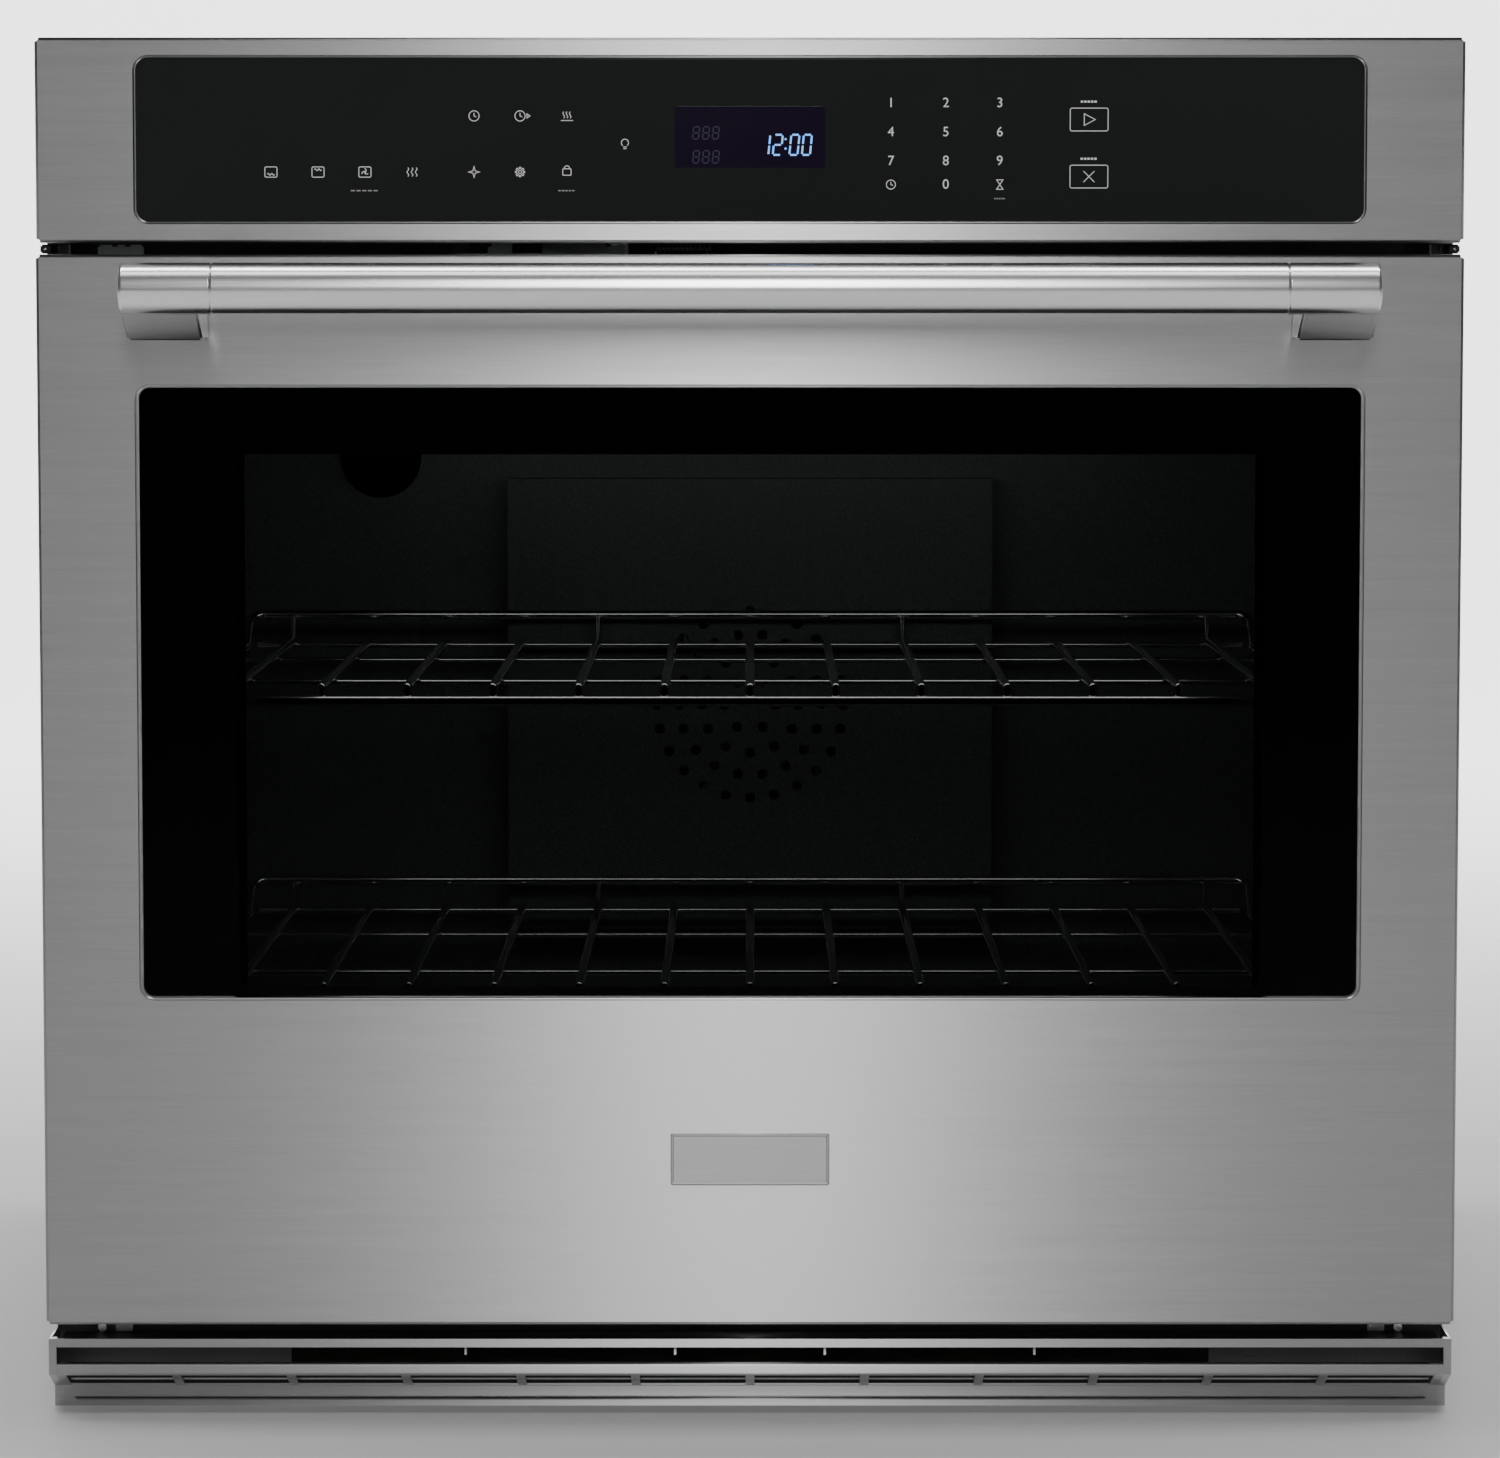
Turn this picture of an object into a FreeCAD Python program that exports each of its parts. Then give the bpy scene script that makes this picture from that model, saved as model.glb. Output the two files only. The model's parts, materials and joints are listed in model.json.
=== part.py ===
import FreeCAD, Part
import math
import os
import re
import Sketcher
from FreeCAD import Placement, Rotation, Vector

# Built-in electric wall oven, 30-inch class.
# X is to the oven's right as a cook faces it, Y runs from the cook into the cabinet and Z is up.
# The origin is the middle of the underside. "Depth" is always measured back from the door's face.

DIMENSIONS = [
    ("overall_width", 756.0, "outside width of fascia and door"),
    ("overall_height", 738.0, "underside to top of fascia"),
    ("overall_depth", 680.0, "front of handle to back of junction box"),
    ("handle_reach", 63.5, "front of handle to door face"),
    ("skin_sheet", 1.0, "stainless sheet of the visible skins"),
    ("frame_sheet", 1.2, "steel sheet of frame and liner"),
    ("chassis_width", 717.0, "outside width of the recessed chassis"),
    ("chassis_top", 716.0, "top of the chassis"),
    ("base_lift", 12.0, "height of the skid rails"),
    ("frame_depth", 50.0, "depth of the front frame's face"),
    ("rear_depth", 584.5, "depth of the rear panel's outer face"),
    ("fascia_set", 3.0, "depth of the fascia's face"),
    ("fascia_bottom", 629.9, "height of the fascia's lower edge"),
    ("glass_half", 325.0, "half width of the control glass and door window"),
    ("control_bottom", 641.0, "height of the control glass's lower edge"),
    ("control_top", 727.5, "height of the control glass's upper edge"),
    ("glass_sheet", 4.0, "thickness of the front glasses"),
    ("corner_radius", 6.5, "corner radius of the front glasses"),
    ("door_bottom", 51.0, "height of the door's lower edge"),
    ("door_top", 623.8, "height of the door's upper edge"),
    ("door_thickness", 44.0, "door face to back of door liner"),
    ("skin_return", 30.0, "depth of the door skin's folded edges"),
    ("window_bottom", 227.6, "height of the door window's lower edge"),
    ("window_top", 553.9, "height of the door window's upper edge"),
    ("sight_bottom", 222, "height of the lower edge of the clear view through the door"),
    ("pack_half", 331, "half the width of the frame that holds the door's inner panes"),
    ("pack_bottom", 204, "height of that frame's lower edge"),
    ("pivot_depth", 20.0, "depth of the door hinge's axis"),
    ("pivot_rise", 22.0, "height of the hinge axis above the door's lower edge"),
    ("pin_diameter", 6.0, "hinge pin"),
    ("arm_centre", 341.5, "distance of a hinge arm from the middle"),
    ("handle_height", 605.9, "height of the handle's axis"),
    ("handle_diameter", 27.0, "handle bar"),
    ("handle_stand", 50.0, "handle axis to door face"),
    ("handle_half", 328.4, "half length of the handle"),
    ("ring_half", 280.0, "half length of the bar between its end pieces"),
    ("foot_inner", 287.4, "inner face of a handle foot"),
    ("foot_outer", 327.1, "outer face of a handle foot"),
    ("foot_bottom", 578.9, "lowest edge of a handle foot"),
    ("badge_width", 85.0, "plain plate low on the door"),
    ("badge_bottom", 127.1, "lower edge of that plate"),
    ("badge_top", 154.7, "upper edge of that plate"),
    ("cavity_half", 318.0, "half width inside the cavity"),
    ("cavity_bottom", 120.0, "height of the cavity floor"),
    ("cavity_top", 575.0, "height of the cavity ceiling"),
    ("cavity_back", 522.0, "depth of the cavity's rear wall"),
    ("rack_upper_height", 388.0, "height of the upper rack's wires"),
    ("rack_lower_height", 223.0, "height of the lower rack's wires"),
    ("rack_front", 88.0, "depth of the racks' front bar"),
    ("rack_rear", 484.0, "depth of the racks' rear bar"),
    ("rack_half", 309.0, "middle to centre of a rack's side rod"),
    ("wire_pitch", 47.0, "spacing of the rack wires"),
    ("wire_diameter", 5.0, "rack wires"),
    ("guide_pitch", 55.0, "spacing of the rack positions"),
    ("trim_upper_side", 373, "middle to the screws above the door"),
    ("trim_upper_height", 626.8, "height of the screws above the door"),
    ("trim_lower_side", 353.5, "middle to the screws below the door"),
    ("trim_lower_height", 40.7, "height of the screws below the door"),
    ("vent_set", 9.0, "depth of the bottom vent's face"),
    ("rail_top", 41.6, "top of the vent's upper rail"),
    ("rail_bottom", 37.0, "underside of the vent's upper rail"),
    ("slot_top", 28.0, "top of the louvred sheet"),
    ("slope_top", 22.2, "upper fold of the louvred sheet"),
    ("slope_bottom", 11.1, "lower fold of the louvred sheet"),
    ("slope_back", 35.0, "depth of the lower fold"),
    ("cheek_width", 4.3, "visible width of a vent cheek"),
    ("bar_pitch", 61.9, "spacing of the louvre bars"),
    ("bar_width", 4.8, "width of a louvre bar"),
    ("screw_hole", 5.0, "cabinet screw holes"),
    ("screw_side", 368.0, "middle to a cabinet screw hole"),
    ("screw_low", 150.0, "height of the lower cabinet screws"),
    ("screw_high", 560.0, "height of the upper cabinet screws"),
    ("fan_height", 347.5, "height of the convection fan's axis"),
    ("shaft_diameter", 8.0, "fan and blower shafts"),
    ("running_gap", 0.1, "a turning bore is this much larger than its shaft"),
    ("conduit_bore", 22.2, "bore of the conduit connector"),
]

doc = FreeCAD.newDocument("wall_oven")
sheet = doc.addObject("Spreadsheet::Sheet", "Dimensions")
for row, (alias, value, meaning) in enumerate(DIMENSIONS, start=1):
    sheet.set("A%d" % row, meaning)
    sheet.set("B%d" % row, str(value))
    sheet.setAlias("B%d" % row, alias)
doc.recompute()

ALIASES = {alias for alias, value, meaning in DIMENSIONS}
MIDDLE = Vector(0, 0, 0)
SIDES = (("left", -1), ("right", 1))
nodes = []


def mm(alias):
    """The number in a cell."""
    return float(getattr(sheet, alias))


def cells(text):
    """An expression in which each alias is written as a reference to its cell."""
    def reference(match):
        word = match.group(0)
        return "Dimensions." + word if word in ALIASES else word
    return re.sub(r"[a-z][a-z_]+", reference, str(text))


def deep(text):
    """The Y coordinate of a depth behind the door's face, as an expression."""
    return "handle_reach - overall_depth / 2 + (%s)" % text


def deep_mm(value):
    """The Y coordinate of a depth behind the door's face, as a number."""
    return mm("handle_reach") - mm("overall_depth") / 2 + value


def bind(part, prop, text):
    part.setExpression(prop, cells(text))


def node(part, name):
    """Keeps a finished sub-part under the name of its file."""
    part.Label = name
    nodes.append(part)
    return part


# ---------------------------------------------------------------- primitives and booleans

def block(name, x, depth, z):
    """A box between two limits on each axis."""
    part = doc.addObject("Part::Box", name)
    limits = (x, (deep(depth[0]), deep(depth[1])), z)
    for axis, side, (low, high) in zip("xyz", ("Length", "Width", "Height"), limits):
        bind(part, side, "(%s) - (%s)" % (high, low))
        bind(part, "Placement.Base." + axis, low)
    return part


def both_ways(half):
    return ("0 - (%s)" % half, half)


def beside(sign, near, far):
    """The X limits of a piece on one side of the oven."""
    if sign > 0:
        return (near, far)
    return ("0 - (%s)" % far, "0 - (%s)" % near)


def rod(name, x, depth, z, axis, length, diameter):
    """A cylinder that starts at a point and runs along one axis."""
    part = doc.addObject("Part::Cylinder", name)
    turns = {
        "x": Rotation(Vector(0, 1, 0), 90),
        "y": Rotation(Vector(1, 0, 0), -90),
        "z": Rotation(),
    }
    part.Placement = Placement(MIDDLE, turns[axis])
    bind(part, "Height", length)
    bind(part, "Radius", "(%s) / 2" % diameter)
    bind(part, "Placement.Base.x", x)
    bind(part, "Placement.Base.y", deep(depth))
    bind(part, "Placement.Base.z", z)
    return part


def join(name, parts):
    whole = doc.addObject("Part::MultiFuse", name)
    whole.Shapes = parts
    return whole


def cut(name, base, tools):
    part = doc.addObject("Part::Cut", name)
    part.Base = base
    part.Tool = tools[0] if len(tools) == 1 else join(name + "_tools", tools)
    return part


def group(name, parts):
    """Separate identical solids kept together."""
    whole = doc.addObject("Part::Compound", name)
    whole.Links = parts
    return whole


def tray(name, x, depth, z, wall, opening):
    """A folded or drawn sheet box with one open face, such as +y or -z."""
    limits = {"x": x, "y": depth, "z": z}
    inner = {}
    for axis, (low, high) in limits.items():
        low_wall = "-5" if opening == "-" + axis else wall
        high_wall = "-5" if opening == "+" + axis else wall
        inner[axis] = ("(%s) + (%s)" % (low, low_wall), "(%s) - (%s)" % (high, high_wall))
    outside = block(name + "_outside", x, depth, z)
    inside = block(name + "_inside", inner["x"], inner["y"], inner["z"])
    return cut(name + "_tray", outside, [inside])


def corner_edges(shape, direction):
    """The numbers of the straight edges that run along a direction."""
    numbers = []
    for number, edge in enumerate(shape.Edges, start=1):
        if edge.Curve.TypeId != "Part::GeomLine":
            continue
        if edge.tangentAt(edge.FirstParameter).cross(direction).Length < 1e-6:
            numbers.append(number)
    return numbers


def rounded(name, base, direction, radius):
    """A Part fillet on every edge of a block that runs along a direction."""
    doc.recompute()
    part = doc.addObject("Part::Fillet", name)
    part.Base = base
    part.Edges = [(number, radius, radius) for number in corner_edges(base.Shape, direction)]
    return part


DEPTHWISE = Vector(0, 1, 0)
SIDEWAYS = Vector(1, 0, 0)
UPWARD = Vector(0, 0, 1)


def pane(name, x, depth, z, radius):
    """A plate with rounded corners, facing the cook."""
    return rounded(name + "_rounded", block(name + "_plate", x, depth, z), DEPTHWISE, radius)


# ---------------------------------------------------------------- sketched bodies

def origin_plane(body, role):
    for feature in body.Origin.OriginFeatures:
        if feature.Role == role:
            return feature
    raise ValueError(role)


def outline(body, role, name, points):
    """A closed sketch whose corners are pinned to expressions on an origin plane."""
    sketch = body.newObject("Sketcher::SketchObject", name)
    sketch.AttachmentSupport = [(origin_plane(body, role), "")]
    sketch.MapMode = "FlatFace"
    count = len(points)
    for index in range(count):
        turn = 2 * math.pi * index / count
        following = 2 * math.pi * (index + 1) / count
        start = Vector(math.cos(turn), math.sin(turn), 0)
        end = Vector(math.cos(following), math.sin(following), 0)
        sketch.addGeometry(Part.LineSegment(start, end), False)
    for index in range(count):
        sketch.addConstraint(Sketcher.Constraint("Coincident", index, 2, (index + 1) % count, 1))
    for index, corner in enumerate(points):
        for kind, text in zip(("DistanceX", "DistanceY"), corner):
            number = sketch.addConstraint(Sketcher.Constraint(kind, -1, 1, index, 1, 1.0))
            sketch.setExpression("Constraints[%d]" % number, cells(text))
    return sketch


def profile(name, points, x, length):
    """A Pad of a side-view outline of (depth, height) corners, centred on x."""
    body = doc.addObject("PartDesign::Body", name)
    shifted = [(deep(depth), height) for depth, height in points]
    sketch = outline(body, "YZ_Plane", name + "_outline", shifted)
    pad = body.newObject("PartDesign::Pad", name + "_pad")
    pad.Profile = sketch
    pad.Midplane = True
    bind(pad, "Length", length)
    bind(body, "Placement.Base.x", x)
    body.Tip = pad
    return body


def plan(name, points, z, height):
    """A Pad of a top-view outline of (x, depth) corners, standing on z."""
    body = doc.addObject("PartDesign::Body", name)
    shifted = [(x, deep(depth)) for x, depth in points]
    sketch = outline(body, "XY_Plane", name + "_outline", shifted)
    pad = body.newObject("PartDesign::Pad", name + "_pad")
    pad.Profile = sketch
    bind(pad, "Length", height)
    bind(body, "Placement.Base.z", z)
    body.Tip = pad
    return body


def turned(name, points, x, depth, z, rotation):
    """A Revolution of (radius, height) corners about the body's own Z axis."""
    body = doc.addObject("PartDesign::Body", name)
    sketch = outline(body, "XZ_Plane", name + "_outline", points)
    revolution = body.newObject("PartDesign::Revolution", name + "_turning")
    revolution.Profile = sketch
    revolution.ReferenceAxis = (sketch, ["V_Axis"])
    revolution.Angle = 360
    body.Tip = revolution
    body.Placement = Placement(MIDDLE, rotation)
    bind(body, "Placement.Base.x", x)
    bind(body, "Placement.Base.y", deep(depth))
    bind(body, "Placement.Base.z", z)
    return body


BACKWARD = Rotation(Vector(1, 0, 0), -90)
UPRIGHT = Rotation()


# ---------------------------------------------------------------- wires and tubes

def bent_path(points, bend):
    """Straight runs joined by tangent arcs of one radius."""
    edges = []
    here = points[0]
    for before, corner, after in zip(points, points[1:], points[2:]):
        come = (corner - before).normalize()
        leave = (after - corner).normalize()
        turn = come.getAngle(leave)
        back = bend * math.tan(turn / 2)
        start = corner - come * back
        end = corner + leave * back
        inward = (leave - come).normalize()
        centre = corner + inward * (bend / math.cos(turn / 2))
        middle = centre - inward * bend
        edges.append(Part.LineSegment(here, start).toShape())
        edges.append(Part.Arc(start, middle, end).toShape())
        here = end
    edges.append(Part.LineSegment(here, points[-1]).toShape())
    return Part.Wire(edges)


def bent_tube(points, diameter, bend):
    """A solid round rod along such a path."""
    path = bent_path(points, bend)
    way = (points[1] - points[0]).normalize()
    ring = Part.Wire([Part.Circle(points[0], way, diameter / 2).toShape()])
    return path.makePipeShell([ring], True, False)


def feature(name, shape):
    part = doc.addObject("Part::Feature", name)
    part.Shape = shape
    part.Placement = shape.Placement
    return part


def coil(start, axis_rotation, length, coil_diameter, wire, turns):
    """A close helical spring."""
    radius = (coil_diameter - wire) / 2
    helix = Part.makeHelix(length / turns, length, radius)
    ring = Part.Wire([Part.Circle(Vector(radius, 0, 0), Vector(0, 1, 0), wire / 2).toShape()])
    spring = Part.Wire(helix.Edges).makePipeShell([ring], True, True)
    spring.Placement = Placement(start, axis_rotation)
    return spring


# ---------------------------------------------------------------- chassis

PANEL_HALF = "chassis_width / 2 - skin_sheet - 0.2"
BEHIND_FRAME = "frame_depth + frame_sheet"
REAR_INSIDE = "rear_depth - 1.4"


def build_base():
    pan = tray("base_pan", both_ways(PANEL_HALF), (BEHIND_FRAME, REAR_INSIDE),
               ("base_lift", "base_lift + 22"), "skin_sheet", "+z")
    holes = []
    for index in range(6):
        x = -275 + 110 * index
        holes.append(block("intake_%d" % index, (x - 40, x + 40), ("rear_depth - 90", "rear_depth - 70"),
                           ("base_lift - 1", "base_lift + 3")))
    holes.append(block("pan_air_outlet", both_ways(250.5), ("frame_depth", "frame_depth + 6"), (16, 36)))
    rails = []
    for side, sign in SIDES:
        outer = block("skid_outer_" + side, beside(sign, 296, 336), (62, 572), (0, "base_lift"))
        inner = block("skid_inner_" + side, beside(sign, 298, 334), (61, 573), (2, "base_lift + 1"))
        rails.append(cut("skid_" + side, outer, [inner]))
    node(join("base_pan", [cut("base_floor", pan, holes)] + rails), "base_pan")


def build_sides():
    for side, sign in SIDES:
        panel = block("panel_" + side, beside(sign, "chassis_width / 2 - skin_sheet", "chassis_width / 2"),
                      (BEHIND_FRAME, "rear_depth"), ("base_lift", "chassis_top"))
        louvres = []
        for row in range(2):
            for column in range(7):
                depth = 120 + 60 * column
                height = 60 + 590 * row
                louvres.append(block("louvre_%s_%d_%d" % (side, row, column),
                                     beside(sign, "chassis_width / 2 - 5", "chassis_width / 2 + 5"),
                                     (depth, depth + 42), (height, height + 4)))
        node(cut("side_panel_" + side, panel, louvres), "side_panel_" + side)


def build_rear_and_top():
    plate = block("rear_plate", both_ways(PANEL_HALF), ("rear_depth - frame_sheet", "rear_depth"),
                  ("base_lift", "chassis_top"))
    grilles = []
    for row in range(6):
        for column in range(8):
            x = -126 + 32 * column
            height = 640 + 10 * row
            grilles.append(block("grille_%d_%d" % (row, column), (x, x + 24),
                                 ("rear_depth - 5", "rear_depth + 5"), (height, height + 4)))
    grilles.append(rod("wire_hole", 260, "rear_depth - 5", 600, "y", 10, 24))
    node(cut("rear_panel", plate, grilles), "rear_panel")
    node(tray("top_panel", both_ways(PANEL_HALF), (BEHIND_FRAME, REAR_INSIDE),
              ("chassis_top - 22", "chassis_top"), "skin_sheet", "-z"), "top_panel")


HINGE_SLOT = (60, 90)
LATCH_WINDOW = (-162, -21)
SWITCH_X = 120
SWITCH_HEIGHT = 606


TRIM_SCREWS = (("trim_upper_side", "trim_upper_height"), ("trim_lower_side", "trim_lower_height"))


def build_front_frame():
    plate = block("frame_plate", both_ways("overall_width / 2"), ("frame_depth", BEHIND_FRAME),
                  ("base_lift + 1", "overall_height - 5"))
    through = ("frame_depth - 5", "frame_depth + 5")
    holes = [
        block("cavity_opening", both_ways("cavity_half - 2"), through,
              ("cavity_bottom + 2", "cavity_top - 2")),
        block("electronics_opening", both_ways(300), through, (644, 704)),
        block("latch_opening", LATCH_WINDOW, through, (598, 640)),
        block("air_outlet", both_ways(250.5), through, (20, 36)),
        rod("switch_hole", SWITCH_X, "frame_depth - 5", SWITCH_HEIGHT, "y", 10, 9),
    ]
    for side, sign in SIDES:
        holes.append(block("hinge_slot_" + side, beside(sign, "arm_centre - 5", "arm_centre + 5"),
                           through, HINGE_SLOT))
        for across, height in TRIM_SCREWS:
            holes.append(rod("hole_%s_%s" % (height, side), "%d * %s" % (sign, across), "frame_depth - 5",
                             height, "y", 10, 2.8))
        for level in ("screw_low", "screw_high"):
            holes.append(rod("cabinet_hole_%s_%s" % (side, level), "%d * screw_side" % sign,
                             "frame_depth - 5", level, "y", 10, "screw_hole"))
    node(cut("front_frame", plate, holes), "front_frame")


# ---------------------------------------------------------------- cavity

LAMP = (-230, 500)
PROBE = (236, 528)
ELEMENT_DIAMETER = 6.5
BROIL_HEIGHT = 560
BAKE_HEIGHT = 111.5


def wall_holes(tag, extra):
    """Holes through the cavity's rear wall and everything packed behind it."""
    start = "cavity_back - 5"
    holes = [
        rod("fan_hole_" + tag, 0, start, "fan_height", "y", 60, 24 + extra),
        rod("lamp_hole_" + tag, LAMP[0], start, LAMP[1], "y", 60, 37 + extra),
        rod("probe_hole_" + tag, PROBE[0], start, PROBE[1], "y", 60, 6 + extra),
    ]
    for side, sign in SIDES:
        holes.append(rod("broil_hole_%s_%s" % (tag, side), sign * 30, start, BROIL_HEIGHT, "y", 60,
                         8 + extra))
        holes.append(rod("ring_hole_%s_%s" % (tag, side), sign * 22, start, "fan_height - 96", "y", 60,
                         9 + extra))
    return holes


def build_liner():
    outer = block("liner_outer", both_ways("cavity_half + frame_sheet"),
                  (BEHIND_FRAME, "cavity_back + frame_sheet"),
                  ("cavity_bottom - frame_sheet", "cavity_top + frame_sheet"))
    flange = block("liner_flange", both_ways("cavity_half + 22"), (BEHIND_FRAME, "frame_depth + 2 * frame_sheet"),
                   ("cavity_bottom - 22", "cavity_top + 18"))
    shell = join("liner_shell", [rounded("liner_outer_round", outer, DEPTHWISE, 13.2), flange])
    inner = block("liner_inner", both_ways("cavity_half"), ("frame_depth - 5", "cavity_back"),
                  ("cavity_bottom", "cavity_top"))
    hollow = rounded("liner_inner_round", inner, DEPTHWISE, 12)
    node(cut("cavity_liner", shell, [hollow] + wall_holes("liner", 0)), "cavity_liner")


def build_insulation():
    blanket = block("blanket", both_ways("chassis_width / 2 - 2"), ("frame_depth + 3", "cavity_back + 36"),
                    (80, 616))
    hollow = block("blanket_hollow", both_ways("cavity_half + 2"), ("frame_depth - 5", "cavity_back + 2"),
                   (104, "cavity_top + 2"))
    mouth = block("blanket_mouth", both_ways("cavity_half + 23"), ("frame_depth", "frame_depth + 6"),
                  (96, "cavity_top + 20"))
    motor = rod("motor_hole", 0, "cavity_back", "fan_height", "y", 60, 92)
    arms = [block("latch_space", (-165, 140), ("frame_depth", 126), (592, 620))]
    for side, sign in SIDES:
        arms.append(block("arm_space_" + side, beside(sign, "arm_centre - 9", "chassis_width / 2"),
                          ("frame_depth", 134), (50, 96)))
    node(cut("cavity_insulation", blanket, [hollow, mouth, motor] + arms + wall_holes("blanket", 4)),
         "cavity_insulation")


def build_gasket():
    outer = block("gasket_outer", both_ways("cavity_half + 20"), (44.4, "frame_depth - 0.1"),
                  ("cavity_bottom - 20", "cavity_top + 16"))
    inner = block("gasket_inner", both_ways("cavity_half + 9"), (40, 55),
                  ("cavity_bottom - 9", "cavity_top + 5"))
    ring = cut("gasket_ring", rounded("gasket_outer_round", outer, DEPTHWISE, 22),
               [rounded("gasket_inner_round", inner, DEPTHWISE, 12)])
    node(ring, "door_gasket")


def guide_levels():
    lowest = mm("rack_lower_height") - mm("guide_pitch")
    return [lowest + mm("guide_pitch") * step for step in range(6)]


def build_guides():
    """Side ladders: rods along which the racks slide, welded to upright wires."""
    drop = 8.9
    lowest = guide_levels()[0] - drop
    tall = guide_levels()[-1] - guide_levels()[0] + 24
    ladders = []
    for side, sign in SIDES:
        rods = []
        for level in guide_levels():
            start = Vector(sign * (mm("rack_half") + 2), deep_mm(124), level - drop)
            rods.append(Part.makeCylinder(2.5, 360, start, DEPTHWISE))
        for depth in (136, 304, 472):
            foot = Vector(sign * (mm("rack_half") + 5.4), deep_mm(depth), lowest - 12)
            rods.append(Part.makeCylinder(2, tall, foot, UPWARD))
        ladders.append(rods[0].multiFuse(rods[1:]))
    node(feature("rack_guides", Part.makeCompound(ladders)), "rack_guides")


def build_elements():
    half = [(30, 560), (30, 430), (240, 430), (240, 330), (70, 330), (70, 225), (240, 225), (240, 125)]
    right = [Vector(x, deep_mm(depth), BROIL_HEIGHT) for x, depth in half]
    left = [Vector(-x, deep_mm(depth), BROIL_HEIGHT) for x, depth in half]
    broil = bent_tube(right + left[::-1], ELEMENT_DIAMETER, 18)
    node(feature("broil_element", broil), "broil_element")
    lanes = [(-250, 470), (-250, 130), (-150, 130), (-150, 430), (-50, 430), (-50, 130),
             (50, 130), (50, 430), (150, 430), (150, 130), (250, 130), (250, 470)]
    bake = [Vector(x, deep_mm(depth), BAKE_HEIGHT) for x, depth in lanes]
    node(feature("bake_element", bent_tube(bake, ELEMENT_DIAMETER, 20)), "bake_element")
    height = mm("fan_height")
    ring = Part.makeTorus(96, 3.25, Vector(0, deep_mm(508), height), DEPTHWISE)
    legs = []
    for side, sign in SIDES:
        start = Vector(sign * 22, deep_mm(508), height - 94.5)
        legs.append(Part.makeCylinder(3.0, 52, start, DEPTHWISE))
    node(feature("convection_element", ring.multiFuse(legs)), "convection_element")


def build_convection():
    cover = tray("baffle", both_ways(150), (494, "cavity_back - 0.3"),
                 ("fan_height - 140", "fan_height + 140"), "skin_sheet", "+y")
    holes = []
    for ring, count in ((16, 6), (30, 12), (44, 18), (58, 24)):
        for step in range(count):
            turn = 2 * math.pi * step / count
            holes.append(rod("intake_%d_%d" % (ring, step), round(ring * math.cos(turn), 3), 490,
                             "fan_height + %.3f" % (ring * math.sin(turn)), "y", 10, 6.5))
    for side, sign in SIDES:
        for step in range(8):
            height = "fan_height - 108 + %d" % (28 * step)
            holes.append(block("outlet_%s_%d" % (side, step), beside(sign, 145, 155), (499, 517),
                               (height, "%s + 18" % height)))
    node(cut("convection_baffle", cover, holes), "convection_baffle")

    height = mm("fan_height")
    solids = [
        Part.makeCylinder(82, 1.2, Vector(0, deep_mm(517), height), DEPTHWISE),
        Part.makeCylinder(12, 17, Vector(0, deep_mm(500.5), height), DEPTHWISE),
        Part.makeCylinder(mm("shaft_diameter") / 2, 58, Vector(0, deep_mm(502), height), DEPTHWISE),
    ]
    for step in range(10):
        blade = Part.makeBox(46, 15, 1.2, Vector(36, deep_mm(502.5), -0.6))
        blade.rotate(Vector(36, 0, 0), DEPTHWISE, 24)
        blade.rotate(MIDDLE, DEPTHWISE, 36 * step)
        blade.translate(Vector(0, 0, height))
        solids.append(blade)
    node(feature("convection_fan", solids[0].multiFuse(solids[1:])), "convection_fan")

    bore = "(shaft_diameter + running_gap) / 2"
    points = [(bore, 0), (15, 0), (15, 3), (40, 3), (40, 44), (34, 50), (bore, 50)]
    node(turned("convection_motor", points, 0, "cavity_back + frame_sheet + 2", "fan_height", BACKWARD),
         "convection_motor")


def build_lamp_and_probe():
    bulb = [(0, 0), (4.6, 0), (4.6, 12), (9, 20), (9, 34), (5, 40), (0, 41)]
    node(turned("lamp_bulb", bulb, LAMP[0], "cavity_back + 16", LAMP[1], Rotation(Vector(1, 0, 0), 90)),
         "lamp_bulb")
    socket = [(10, 0), (17.5, 0), (17.5, 26), (10, 36), (0, 36), (0, 17), (4.7, 17), (4.7, 4.6), (10, 4.6)]
    node(turned("lamp_socket", socket, LAMP[0], "cavity_back + 0.1", LAMP[1], BACKWARD), "lamp_socket")
    lens = [(13, 0), (25, 0), (25, -4), (20, -6), (18, -24), (12, -30), (0, -31),
            (0, -29), (11, -28), (16, -23), (17, -4), (13, -3)]
    node(turned("lamp_lens", lens, LAMP[0], "cavity_back - 0.1", LAMP[1], BACKWARD), "lamp_lens")
    probe = [(0, 0), (2, 0), (2.5, 2), (2.5, 52), (9, 52), (9, 54), (2.8, 54), (2.8, 70), (0, 70)]
    node(turned("temperature_probe", probe, PROBE[0], "cavity_back - 54", PROBE[1], BACKWARD),
         "temperature_probe")


# ---------------------------------------------------------------- cooling air

BLOWER = (0, 470)


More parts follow.
